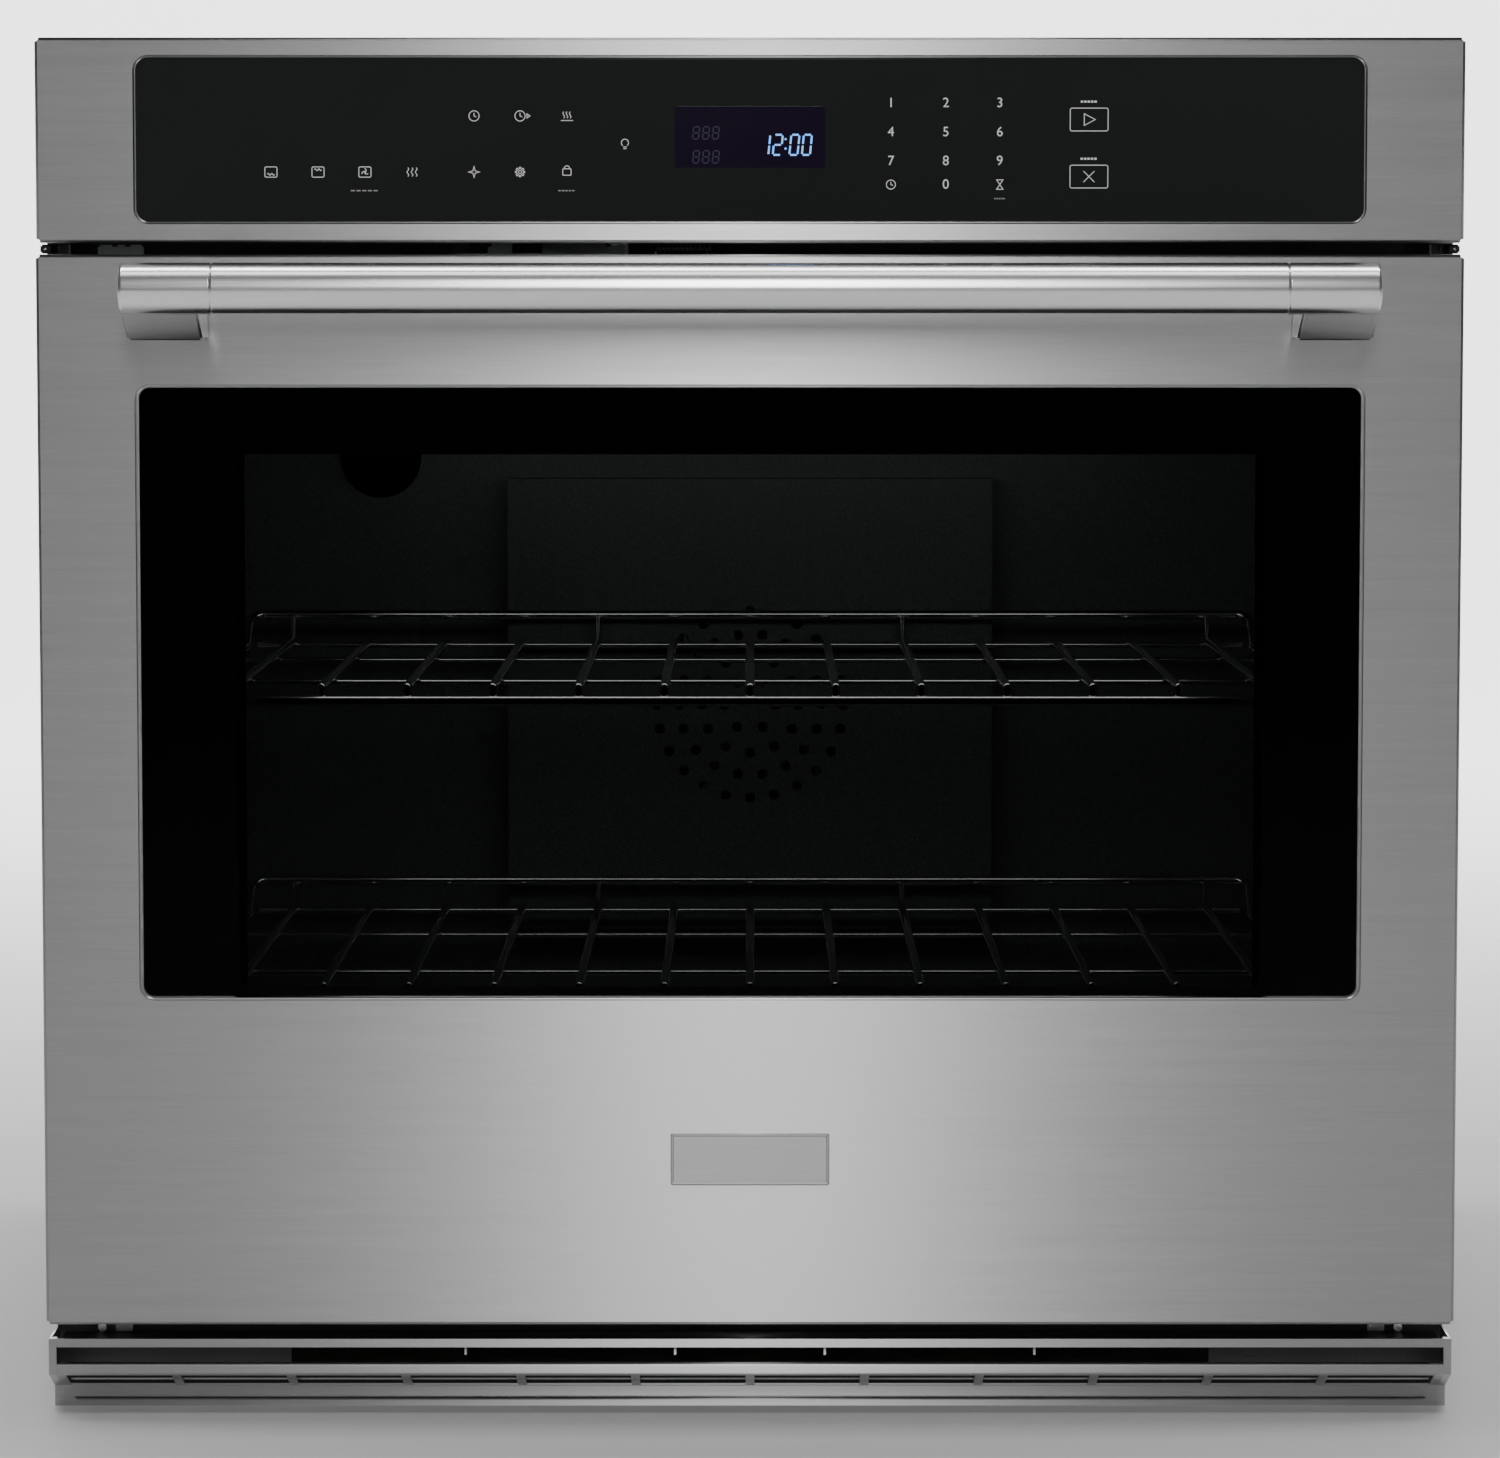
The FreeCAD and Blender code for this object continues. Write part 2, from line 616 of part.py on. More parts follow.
def build_cooling():
    x, depth = BLOWER
    scroll = rod("scroll_outer", x, depth, 630, "z", 46, 176)
    outlet = block("outlet_outer", (x + 8, x + 88), (depth - 150, depth), (630, 676))
    hollow = rod("scroll_inner", x, depth, 631.2, "z", 43.6, 173.6)
    passage = block("outlet_inner", (x + 9.2, x + 86.8), (depth - 155, depth), (631.2, 674.8))
    eye = rod("scroll_eye", x, depth, 625, "z", 10, 90)
    shaft = rod("motor_eye", x, depth, 670, "z", 10, 20)
    node(cut("blower_housing", join("blower_shell", [scroll, outlet]), [hollow, passage, eye, shaft]),
         "blower_housing")

    centre = Vector(x, deep_mm(depth), 0)
    solids = [
        Part.makeCylinder(70, 1.5, centre + Vector(0, 0, 668), UPWARD),
        Part.makeCylinder(9, 34, centre + Vector(0, 0, 640), UPWARD),
        Part.makeCylinder(mm("shaft_diameter") / 2, 46, centre + Vector(0, 0, 645), UPWARD),
        Part.makeCylinder(70, 1.5, centre + Vector(0, 0, 636), UPWARD).cut(
            Part.makeCylinder(48, 1.5, centre + Vector(0, 0, 636), UPWARD)),
    ]
    for step in range(20):
        vane = Part.makeBox(19, 1.0, 33, Vector(50, -0.5, 636))
        vane.rotate(Vector(50, 0, 0), UPWARD, 20)
        vane.rotate(MIDDLE, UPWARD, 18 * step)
        vane.translate(centre)
        solids.append(vane)
    node(feature("blower_wheel", solids[0].multiFuse(solids[1:])), "blower_wheel")

    bore = "(shaft_diameter + running_gap) / 2"
    motor = [(bore, 0), (34, 0), (34, 12), (26, 16), (bore, 16)]
    node(turned("blower_motor", motor, x, depth, 676.2, UPRIGHT), "blower_motor")

    duct = tray("duct", (-240, 240), (64, 318), (636, 674), "skin_sheet", "-y")
    mouth = block("duct_mouth", (x + 8, x + 88), (310, 325), (637.5, 672.5))
    node(cut("cooling_duct", duct, [mouth]), "cooling_duct")


# ---------------------------------------------------------------- latch and door switch

LATCH_PIVOT = (-85, 76)
HOOK_HEIGHT = 603
HOOK_SHEET = 3


def build_latch():
    x, depth = LATCH_PIVOT
    plate = block("latch_floor", (-158, -25), ("frame_depth + 3", 120), (599, 600.5))
    uprights = []
    for index, (low, high) in enumerate(((-139, -128), (-75, -64))):
        uprights.append(block("latch_tab_%d" % index, (low, high), ("frame_depth + 4", "frame_depth + 5.2"),
                              (600, 633)))
    post = rod("latch_post", x, depth, 600, "z", 9, 7.9)
    node(join("latch_bracket", [plate, post] + uprights), "latch_bracket")

    shank = [(x - 5, 92), (x - 5, 24), (x + 12, 24), (x + 12, 32), (x + 5, 32), (x + 5, 92)]
    hook = plan("hook_plate", shank, HOOK_HEIGHT, HOOK_SHEET)
    boss = rod("hook_boss", x, depth, HOOK_HEIGHT, "z", HOOK_SHEET, 20)
    eye = rod("hook_eye", x, depth, HOOK_HEIGHT - 1, "z", HOOK_SHEET + 2, 8)
    node(cut("latch_hook", join("hook_blank", [hook, boss]), [eye]), "latch_hook")
    drive = block("latch_motor_case", (-152, -114), (66, 112), (600.8, 632))
    spindle = rod("latch_motor_spindle", -108, 96, 600.8, "z", 12, 6)
    arm = block("latch_motor_arm", (-116, -106), (92, 100), (607.4, 609.4))
    node(join("latch_motor", [drive, arm, spindle]), "latch_motor")

    start = Vector(-50.7, deep_mm(46.6), 626.9)
    spring = coil(start, Rotation(Vector(0, 1, 0), 90), 30, 5.4, 1.2, 12)
    node(feature("latch_spring", spring), "latch_spring")

    body = block("switch_case", (SWITCH_X - 10, SWITCH_X + 10), ("frame_depth + 1.5", 78),
                 (SWITCH_HEIGHT - 12, SWITCH_HEIGHT + 14))
    bore = rod("switch_bore", SWITCH_X, "frame_depth", SWITCH_HEIGHT, "y", 18, 5.1)
    node(cut("door_switch", body, [bore]), "door_switch")
    node(rod("switch_plunger", SWITCH_X, "door_thickness + 0.3", SWITCH_HEIGHT, "y", 18, 5),
         "switch_plunger")


# ---------------------------------------------------------------- supply

def build_supply():
    box = tray("junction", (200, 320), ("rear_depth", "overall_depth - handle_reach - 1.5"), (540, 670),
               1.2, "+y")
    hole = rod("junction_entry", 290, "rear_depth + 15", 664, "z", 10, 22.4)
    feed = rod("junction_feed", 260, "rear_depth - 1", 600, "y", 8, 24)
    node(cut("junction_box", box, [hole, feed]), "junction_box")
    lid = block("junction_lid", (198, 322), ("overall_depth - handle_reach - 1.5", "overall_depth - handle_reach"),
                (538, 672))
    node(rounded("junction_cover", lid, DEPTHWISE, 3), "junction_cover")
    bore = "conduit_bore / 2"
    points = [(bore, 0), (14.6, 0), (14.6, 4), (13.6, 4), (13.6, 20), (bore, 20)]
    node(turned("conduit_connector", points, 290, "rear_depth + 15", 670, UPRIGHT), "conduit_connector")


# ---------------------------------------------------------------- control panel

def build_controls():
    shell = tray("fascia", both_ways("overall_width / 2"), ("fascia_set", "frame_depth - 1"),
                 ("fascia_bottom", "overall_height"), "skin_sheet", "+y")
    opening = pane("fascia_opening", both_ways("glass_half"), ("fascia_set - 2", "fascia_set + 4"),
                   ("control_bottom", "control_top"), mm("corner_radius"))
    node(cut("control_fascia", shell, [opening]), "control_fascia")
    glass = pane("control_pane", both_ways("glass_half - 0.6"),
                 ("fascia_set - 0.4", "fascia_set - 0.4 + glass_sheet"),
                 ("control_bottom + 0.6", "control_top - 0.6"), mm("corner_radius") - 0.6)
    node(glass, "control_glass")
    frame = block("carrier_plate", both_ways("glass_half + 8"),
                  ("fascia_set - 0.4 + glass_sheet", "fascia_set + 6.6"), ("control_bottom - 7", "control_top + 6"))
    gap = block("carrier_gap", (-46, 46), (0, 20), (660, 706))
    ribs = []
    for index, height in enumerate(("control_bottom - 7", "control_top + 4")):
        ribs.append(block("carrier_rib_%d" % index, both_ways("glass_half + 8"), (8, 20),
                          (height, "%s + 2" % height)))
    node(join("control_carrier", [cut("carrier_panel", frame, [gap])] + ribs), "control_carrier")
    case = block("display_case", (-45, 45), ("fascia_set - 0.4 + glass_sheet", 19), (661, 705))
    node(rounded("display_module", case, DEPTHWISE, 3), "display_module")

    board = block("board_sheet", (-150, 150), (26, 27.6), (646, 722))
    parts = [board]
    for index, (x, height, wide, tall, deep_size) in enumerate((
            (-120, 655, 40, 30, 14), (-60, 690, 30, 20, 10), (-20, 655, 26, 26, 8),
            (30, 660, 44, 40, 12), (100, 655, 22, 30, 15), (100, 695, 30, 18, 9))):
        parts.append(block("component_%d" % index, (x, x + wide), (27.6, 27.6 + deep_size),
                           (height, height + tall)))
    node(join("control_board", parts), "control_board")


# ---------------------------------------------------------------- bottom vent

def build_vent():
    inner_half = "overall_width / 2 - cheek_width"
    rail = profile("vent_rail", [
        ("vent_set", "rail_top"), ("vent_set", "rail_bottom"), ("frame_depth - 0.2", "rail_bottom"),
        ("frame_depth - 0.2", "rail_bottom + skin_sheet"),
        ("vent_set + skin_sheet", "rail_bottom + skin_sheet"), ("vent_set + skin_sheet", "rail_top"),
    ], 0, "2 * (%s)" % inner_half)
    webs = []
    for index, x in enumerate((-153.5, -40.4, 40.4, 153.5)):
        webs.append(block("vent_web_%d" % index, (x - 0.6, x + 0.6), (14, 48), (32, "rail_bottom")))
    node(join("vent_top_rail", [rail] + webs), "vent_top_rail")

    louvre = profile("louvre_sheet", [
        ("vent_set", "slot_top"), ("vent_set", "slope_top"), ("slope_back", "slope_bottom"),
        ("slope_back", "slope_bottom + 1.09 * skin_sheet"),
        ("vent_set + skin_sheet", "slope_top + 0.66 * skin_sheet"),
        ("vent_set + skin_sheet", "slot_top - skin_sheet"),
        ("vent_set + 5", "slot_top - skin_sheet"), ("vent_set + 5", "slot_top"),
    ], 0, "2 * (%s)" % inner_half)
    slots = []
    for index in range(12):
        left = "(%d) * bar_pitch + bar_width / 2" % (index - 6)
        right = "(%d) * bar_pitch - bar_width / 2" % (index - 5)
        slots.append(block("louvre_slot_%d" % index, (left, right),
                           ("vent_set + 3", "slope_back - 4"), (6, "slot_top - 2")))
    node(cut("vent_louvre", louvre, slots), "vent_louvre")

    strip = profile("strip_sheet", [
        ("slope_back", "slope_bottom + 1.09 * skin_sheet"), ("slope_back", "0"),
        ("frame_depth - 0.2", "0"), ("frame_depth - 0.2", "skin_sheet"),
        ("slope_back + skin_sheet", "skin_sheet"),
        ("slope_back + skin_sheet", "slope_bottom + 1.09 * skin_sheet"),
    ], 0, "2 * (%s)" % inner_half)
    groove = block("strip_groove", both_ways("%s - 6" % inner_half), (34, "slope_back + 0.4"), (3.6, 6.4))
    node(cut("vent_lower_strip", strip, [groove]), "vent_lower_strip")

    cheeks = []
    for side, sign in SIDES:
        middle = "%d * (overall_width / 2 - cheek_width / 2)" % sign
        cheek = profile("cheek_" + side, [
            ("vent_set", "rail_top"), ("vent_set", "slope_top"), ("slope_back", "slope_bottom"),
            ("slope_back", "0"), ("frame_depth - 0.2", "0"), ("frame_depth - 0.2", "rail_top"),
        ], middle, "cheek_width - 0.1")
        near = "overall_width / 2 - cheek_width - 1"
        far = "overall_width / 2 - skin_sheet - 0.1"
        relief = block("cheek_relief_" + side, beside(sign, near, far),
                       ("slope_back + skin_sheet", 60), (-1, "rail_top + 1"))
        upper = block("cheek_upper_" + side, beside(sign, near, far),
                      ("vent_set + 6", 60), ("slope_top + 1", "rail_top + 1"))
        cheeks.append(cut("vent_cheek_" + side, cheek, [relief, upper]))
    node(group("vent_cheeks", cheeks), "vent_cheeks")


# ---------------------------------------------------------------- door

PIVOT_HEIGHT = "door_bottom + pivot_rise"
LINER_FRONT = "skin_return + 1"


def arm_slots(tag, depth, z):
    slots = []
    for side, sign in SIDES:
        slots.append(block("arm_slot_%s_%s" % (tag, side), beside(sign, "arm_centre - 4.5", "arm_centre + 4.5"),
                           depth, z))
    return slots


def build_door_skin():
    shell = tray("skin", both_ways("overall_width / 2"), (0, "skin_return"), ("door_bottom", "door_top"),
                 "skin_sheet", "+y")
    opening = pane("skin_opening", both_ways("glass_half"), (-2, 4), ("window_bottom", "window_top"), mm("corner_radius"))
    bolts = []
    for side, sign in SIDES:
        for level in (588, 604):
            bolts.append(rod("bolt_hole_%s_%d" % (side, level), sign * 307, -5, level, "y", 10, 6))
    slots = arm_slots("skin", (6, 35), (45, "door_bottom + 3"))
    node(cut("door_skin", shell, [opening] + bolts + slots), "door_skin")


def build_door_liner():
    shell = tray("liner_panel", both_ways("overall_width / 2 - 6"), (LINER_FRONT, "door_thickness"),
                 ("door_bottom + 8", "door_top - 8.8"), "skin_sheet", "-y")
    opening = pane("liner_opening", both_ways(272), (40, 50), ("sight_bottom", 532), 10)
    slot = block("latch_slot", (-97, -66), (40, 50), (598.5, 610.5))
    slots = arm_slots("liner", (28, 50), ("door_bottom + 2", "%s + 16" % PIVOT_HEIGHT))
    node(cut("door_liner", shell, [opening, slot] + slots), "door_liner")


def build_glass():
    outer = pane("outer_pane", both_ways("glass_half - 0.6"), (0.6, "0.6 + glass_sheet"),
                 ("window_bottom + 0.6", "window_top - 0.6"), mm("corner_radius") - 0.6)
    node(outer, "outer_glass")
    node(pane("middle_pane", both_ways(300), (18, 21.2), ("sight_bottom - 8", 544), 6), "middle_glass")
    node(pane("inner_pane", both_ways(290), (38.6, 42.6), ("sight_bottom - 8", 540), 6), "inner_glass")
    walls = tray("pack", both_ways("pack_half"), (4.8, 38.4), ("pack_bottom", 564), 1.5, "+y")
    ledge = block("pack_ledge", both_ways("pack_half - 1"), (21.4, 22.9), ("pack_bottom + 1", 563))
    window = block("pack_window", both_ways(276), (0, 45), ("sight_bottom", 528))
    node(cut("glass_pack_frame", join("pack_blank", [walls, ledge]), [window]), "glass_pack_frame")


def build_door_insulation():
    wool = block("wool", both_ways("pack_half"), (4, 36), (96, 590))
    hole = block("wool_hole", both_ways("pack_half + 1"), (0, 50), ("pack_bottom - 2", 566))
    node(cut("door_wool", wool, [hole]), "door_insulation")


def build_hinges():
    arms = []
    channels = []
    pins = []
    springs = []
    for side, sign in SIDES:
        middle = "%d * arm_centre" % sign
        reach = [
            (12, "%s + 6" % PIVOT_HEIGHT), (12, "%s - 6" % PIVOT_HEIGHT), (17, "%s - 8" % PIVOT_HEIGHT),
            (128, "%s - 7" % PIVOT_HEIGHT), (128, "%s + 12" % PIVOT_HEIGHT), (100, "%s + 12" % PIVOT_HEIGHT),
            (94, "%s + 7" % PIVOT_HEIGHT), (17, "%s + 8" % PIVOT_HEIGHT),
        ]
        plate = profile("arm_plate_" + side, reach, middle, 4)
        eye = rod("arm_eye_" + side, "%s - 5" % middle, "pivot_depth", PIVOT_HEIGHT, "x", 10,
                  "pin_diameter + running_gap")
        lug = block("arm_lug_" + side, beside(sign, "arm_centre - 4.6", "arm_centre + 4.6"),
                    (48.2, "frame_depth - 0.1"), (38.4, 66))
        arms.append(cut("hinge_arm_" + side, join("arm_blank_" + side, [plate, lug]), [eye]))
        channel = block("channel_outer_" + side, beside(sign, "arm_centre - 9", "arm_centre + 9"), (8, 30),
                        (58, 250))
        hollow = block("channel_inner_" + side, beside(sign, "arm_centre - 7.5", "arm_centre + 7.5"), (9.5, 35),
                       (50, 248.5))
        seat = rod("channel_eye_" + side, "%s - 12" % middle, "pivot_depth", PIVOT_HEIGHT, "x", 24,
                   "pin_diameter")
        channels.append(cut("hinge_channel_" + side, channel, [hollow, seat]))
        pins.append(rod("pin_" + side, "%s - 9" % middle, "pivot_depth", PIVOT_HEIGHT, "x", 18,
                        "pin_diameter"))
        start = Vector(sign * mm("arm_centre"), deep_mm(18.5), 120)
        springs.append(coil(start, UPRIGHT, 110, 12, 2, 22))
    node(group("hinge_arms", arms), "hinge_arms")
    node(group("hinge_channels", channels), "hinge_channels")
    node(group("hinge_pins", pins), "hinge_pins")
    node(feature("hinge_springs", Part.makeCompound(springs)), "hinge_springs")


def build_handle():
    bar = rod("bar", "0 - ring_half", "0 - handle_stand", "handle_height", "x", "2 * ring_half",
              "handle_diameter")
    node(bar, "handle_bar")
    bolts = []
    brackets = []
    for side, sign in SIDES:
        length = "handle_half - ring_half - 0.6"
        start = "ring_half + 0.6" if sign > 0 else "0 - handle_half"
        cap = rod("handle_cap_" + side, start, "0 - handle_stand", "handle_height", "x", length,
                  "handle_diameter")
        spigot_start = "ring_half" if sign > 0 else "0 - ring_half - 1"
        spigot = rod("handle_spigot_" + side, spigot_start, "0 - handle_stand", "handle_height", "x", 1,
                     "handle_diameter - 2")
        middle = "%d * (foot_inner + foot_outer) / 2" % sign
        foot = profile("handle_foot_" + side, [
            ("0 - handle_stand", "handle_height + handle_diameter / 2"),
            ("0 - handle_stand", "handle_height - handle_diameter / 2"),
            ("0 - 0.1", "foot_bottom"), ("0 - 0.1", "handle_height + 11"),
        ], middle, "foot_outer - foot_inner")
        holes = []
        for level in (588, 604):
            holes.append(rod("tapped_hole_%s_%d" % (side, level), sign * 307, -20, level, "y", 25, 5))
            shank = rod("shank_%s_%d" % (side, level), sign * 307, -18, level, "y", 19.2, 5)
            head = rod("head_%s_%d" % (side, level), sign * 307, 1.1, level, "y", 2.4, 10)
            bolts.append(join("bolt_%s_%d" % (side, level), [shank, head]))
        brackets.append(cut("handle_bracket_" + side, join("handle_blank_" + side, [cap, spigot, foot]), holes))
    node(group("handle_brackets", brackets), "handle_brackets")
    node(group("handle_bolts", bolts), "handle_bolts")


def build_badge():
    plate = block("badge_plate", both_ways("badge_width / 2"), (-1.4, -0.1), ("badge_bottom", "badge_top"))
    node(rounded("door_badge", plate, DEPTHWISE, 3), "door_badge")


# ---------------------------------------------------------------- racks

def build_rack(name, level):
    """A wire shelf: long wires on cross rods, inside a bent frame with a raised back."""
    half = mm("rack_half")
    front = deep_mm(mm("rack_front"))
    rear = deep_mm(mm("rack_rear"))
    wire = mm("wire_diameter")
    below = level - wire / 2 - 1.2
    bar_height = level - 7.6
    solids = []
    for index in range(-6, 7):
        start = Vector(index * mm("wire_pitch"), front + 2, level)
        solids.append(Part.makeCylinder(wire / 2, rear - front - 4, start, DEPTHWISE))
        drop = Vector(index * mm("wire_pitch"), front + 2, bar_height)
        solids.append(Part.makeCylinder(wire / 2, level - bar_height, drop, UPWARD))
        solids.append(Part.makeSphere(wire / 2, start))
    frame_points = [
        Vector(0, front, bar_height), Vector(half, front, bar_height),
        Vector(half, front + 26, level - 3), Vector(half, rear - 30, level - 3),
        Vector(half, rear, level + 16), Vector(0, rear, level + 16),
    ]
    for sign in (1, -1):
        points = [Vector(sign * point.x, point.y, point.z) for point in frame_points]
        solids.append(bent_tube(points, 6, 9))
    solids.append(Part.makeCylinder(2, 2 * half - 10, Vector(5 - half, rear - 2, level - 2.6), SIDEWAYS))
    for index in (-6, -2, 2, 6):
        foot = Vector(index * mm("wire_pitch"), rear - 1, level - 2)
        solids.append(Part.makeCylinder(2, 18, foot, UPWARD))
    for depth in (178, 360):
        y = deep_mm(depth)
        solids.append(Part.makeCylinder(1.6, 2 * half, Vector(-half, y, below), SIDEWAYS))
    shape = solids[0].multiFuse(solids[1:])
    node(feature(name, shape), name)


# ---------------------------------------------------------------- small fasteners

def build_trim_screws():
    """Screws seen in the gaps, which hold fascia and vent to the front frame."""
    screws = []
    for side, sign in SIDES:
        for across, height in TRIM_SCREWS:
            x = "%d * %s" % (sign, across)
            shank = rod("shank_%s_%s" % (height, side), x, 49.8, height, "y", 6, 2.6)
            head = rod("head_%s_%s" % (height, side), x, 48, height, "y", 2, 4.8)
            screws.append(join("screw_%s_%s" % (height, side), [shank, head]))
    node(group("trim_screws", screws), "trim_screws")


build_base()
build_sides()
build_rear_and_top()
build_front_frame()
build_liner()
build_insulation()
build_gasket()
build_guides()
build_elements()
build_convection()
build_lamp_and_probe()
build_cooling()
build_latch()
build_supply()
build_controls()
build_vent()
build_door_skin()
build_door_liner()
build_glass()
build_door_insulation()
build_hinges()
build_handle()
build_badge()
build_rack("rack_upper", mm("rack_upper_height"))
build_rack("rack_lower", mm("rack_lower_height"))
build_trim_screws()
doc.recompute()

# ---------------------------------------------------------------- checks and files

for item in doc.Objects:
    if {"Invalid", "Error"} & set(item.State):
        raise RuntimeError("%s did not compute: %s" % (item.Label, item.State))
for part in nodes:
    if part.Shape.isNull() or not part.Shape.isValid():
        raise RuntimeError("%s has no valid shape" % part.Label)

os.makedirs("parts", exist_ok=True)
for part in nodes:
    part.Shape.exportStep("parts/%s.step" % part.Label)
    box = part.Shape.BoundBox
    print("%-22s %2d solids %10.0f mm3  x %7.1f %7.1f  y %7.1f %7.1f  z %7.1f %7.1f" % (
        part.Label, len(part.Shape.Solids), part.Shape.Volume,
        box.XMin, box.XMax, box.YMin, box.YMax, box.ZMin, box.ZMax))
print(len(nodes), "sub-parts")
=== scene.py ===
import json
import math

import bmesh
import bpy
from mathutils import Matrix, Vector


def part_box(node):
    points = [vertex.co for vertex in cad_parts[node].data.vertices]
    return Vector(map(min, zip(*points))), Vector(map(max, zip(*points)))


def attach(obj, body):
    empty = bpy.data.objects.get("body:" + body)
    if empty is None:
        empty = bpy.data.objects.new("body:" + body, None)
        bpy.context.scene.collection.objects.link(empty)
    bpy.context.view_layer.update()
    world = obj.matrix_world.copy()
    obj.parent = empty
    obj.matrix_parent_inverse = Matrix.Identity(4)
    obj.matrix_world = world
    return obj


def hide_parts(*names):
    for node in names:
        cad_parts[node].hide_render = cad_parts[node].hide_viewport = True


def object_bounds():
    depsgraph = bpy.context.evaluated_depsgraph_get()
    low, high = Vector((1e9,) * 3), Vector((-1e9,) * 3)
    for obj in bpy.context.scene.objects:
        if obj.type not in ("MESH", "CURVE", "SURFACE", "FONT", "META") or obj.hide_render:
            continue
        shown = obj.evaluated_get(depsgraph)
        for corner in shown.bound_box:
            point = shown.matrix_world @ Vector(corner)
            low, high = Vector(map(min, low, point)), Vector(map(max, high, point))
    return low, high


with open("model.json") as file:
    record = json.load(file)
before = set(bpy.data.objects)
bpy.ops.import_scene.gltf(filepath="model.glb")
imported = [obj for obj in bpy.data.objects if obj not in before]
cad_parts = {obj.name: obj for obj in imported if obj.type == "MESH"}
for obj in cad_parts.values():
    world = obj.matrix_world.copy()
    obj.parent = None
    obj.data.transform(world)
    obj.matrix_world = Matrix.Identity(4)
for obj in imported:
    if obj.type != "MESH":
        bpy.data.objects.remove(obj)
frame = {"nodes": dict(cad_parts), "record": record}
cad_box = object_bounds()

# Metres throughout. X is to the right as the cook faces the oven, Y runs into the cabinet, Z is up.

NODES = frame["nodes"]
MM = 0.001


# ---------------------------------------------------------------- mesh helpers

def place(name, data):
    """A new object for a mesh, lamp or camera, linked to the scene."""
    made = bpy.data.objects.new(name, data)
    bpy.context.scene.collection.objects.link(made)
    return made


def keep_flats_flat(mesh, smooth_angle, limit=0.9995):
    """Smooth shading on bends only: upright front and back faces stay flat, with a sharp edge round them."""
    mesh.set_sharp_from_angle(angle=math.radians(smooth_angle))
    flat = [abs(face.normal.y) > limit for face in mesh.polygons]
    uses = {}
    for face in mesh.polygons:
        face.use_smooth = not flat[face.index]
        for key in face.edge_keys:
            uses.setdefault(key, set()).add(flat[face.index])
    for edge in mesh.edges:
        if len(uses.get(edge.key, ())) == 2:
            edge.use_edge_sharp = True


def add_mesh(name, bm, material, body, smooth_angle=35.0):
    """Turns a bmesh into a piece that rides on a body and takes its finish from a slot."""
    bmesh.ops.remove_doubles(bm, verts=bm.verts, dist=1e-7)
    bmesh.ops.recalc_face_normals(bm, faces=bm.faces)
    mesh = bpy.data.meshes.new(name)
    bm.to_mesh(mesh)
    bm.free()
    piece = place(name, mesh)
    mesh.materials.append(material)
    for face in mesh.polygons:
        face.use_smooth = True
    mesh.set_sharp_from_angle(angle=math.radians(smooth_angle))
    even = piece.modifiers.new("even_shading", "WEIGHTED_NORMAL")
    even.keep_sharp = True
    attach(piece, body)
    return piece


def bridge(bm, near, far, closed=True):
    """Quads between two rows of vertices."""
    count = len(near)
    for index in range(count if closed else count - 1):
        following = (index + 1) % count
        bm.faces.new((near[index], near[following], far[following], far[index]))


def loft(bm, loops, cap_start=True, cap_end=True, closed=True):
    """Quads between successive loops of equal length, with an optional face at each end."""
    rows = [[bm.verts.new(point) for point in loop] for loop in loops]
    for near, far in zip(rows, rows[1:]):
        bridge(bm, near, far, closed)
    if cap_start:
        bm.faces.new(rows[0][::-1])
    if cap_end:
        bm.faces.new(rows[-1])


def face_with_hole(bm, outer, rim):
    """Fills between an outer loop and the rim of a hole, and returns the vertices of both."""
    outer_verts = [bm.verts.new(point) for point in outer]
    rim_verts = [bm.verts.new(point) for point in rim]
    edges = []
    for ring in (outer_verts, rim_verts):
        for index, vert in enumerate(ring):
            edges.append(bm.edges.new((vert, ring[(index + 1) % len(ring)])))
    bmesh.ops.triangle_fill(bm, use_beauty=True, use_dissolve=False, edges=edges)
    return outer_verts, rim_verts


def rounded_rectangle(x_low, x_high, z_low, z_high, radius, y, steps=8):
    """Points round an upright rectangle with round corners."""
    radius = max(radius, 1e-5)
    points = []
    corners = ((x_high - radius, z_high - radius, 0), (x_low + radius, z_high - radius, 90),
               (x_low + radius, z_low + radius, 180), (x_high - radius, z_low + radius, 270))
    for x, z, start in corners:
        for step in range(steps + 1):
            turn = math.radians(start + 90 * step / steps)
            points.append(Vector((x + radius * math.cos(turn), y, z + radius * math.sin(turn))))
    return points


def plate(bm, limits, radius, profile, steps=8):
    """An upright plate whose rim follows (inset, y) steps from front to back."""
    x_low, x_high, z_low, z_high = limits
    loops = [
        rounded_rectangle(x_low + inset, x_high - inset, z_low + inset, z_high - inset,
                          radius - inset, y, steps)
        for inset, y in profile
    ]
    loft(bm, loops)


def soft_box(bm, low, high, bevel):
    """A box with its edges bevelled."""
    made = bmesh.ops.create_cube(bm, size=1.0)["verts"]
    middle = (Vector(low) + Vector(high)) / 2
    size = Vector(high) - Vector(low)
    for vert in made:
        vert.co = Vector((vert.co.x * size.x, vert.co.y * size.y, vert.co.z * size.z)) + middle
    edges = {edge for vert in made for edge in vert.link_edges}
    bmesh.ops.bevel(bm, geom=list(edges), offset=bevel, segments=2, affect="EDGES", clamp_overlap=True)


def turned(bm, start, axis, profile, steps=40):
    """A turned solid: (distance along the axis, radius) steps from one end to the other."""
    axis = Vector(axis).normalized()
    side = axis.orthogonal().normalized()
    other = axis.cross(side)
    loops = []
    for along, radius in profile:
        loops.append([
            Vector(start) + axis * along
            + (side * math.cos(2 * math.pi * step / steps) + other * math.sin(2 * math.pi * step / steps)) * radius
            for step in range(steps)
        ])
    loft(bm, loops)


def side_profile(bm, outline, x_low, x_high):
    """A prism of a (y, z) outline between two X positions."""
    loops = [[Vector((x, y, z)) for y, z in outline] for x in (x_low, x_high)]
    loft(bm, loops)


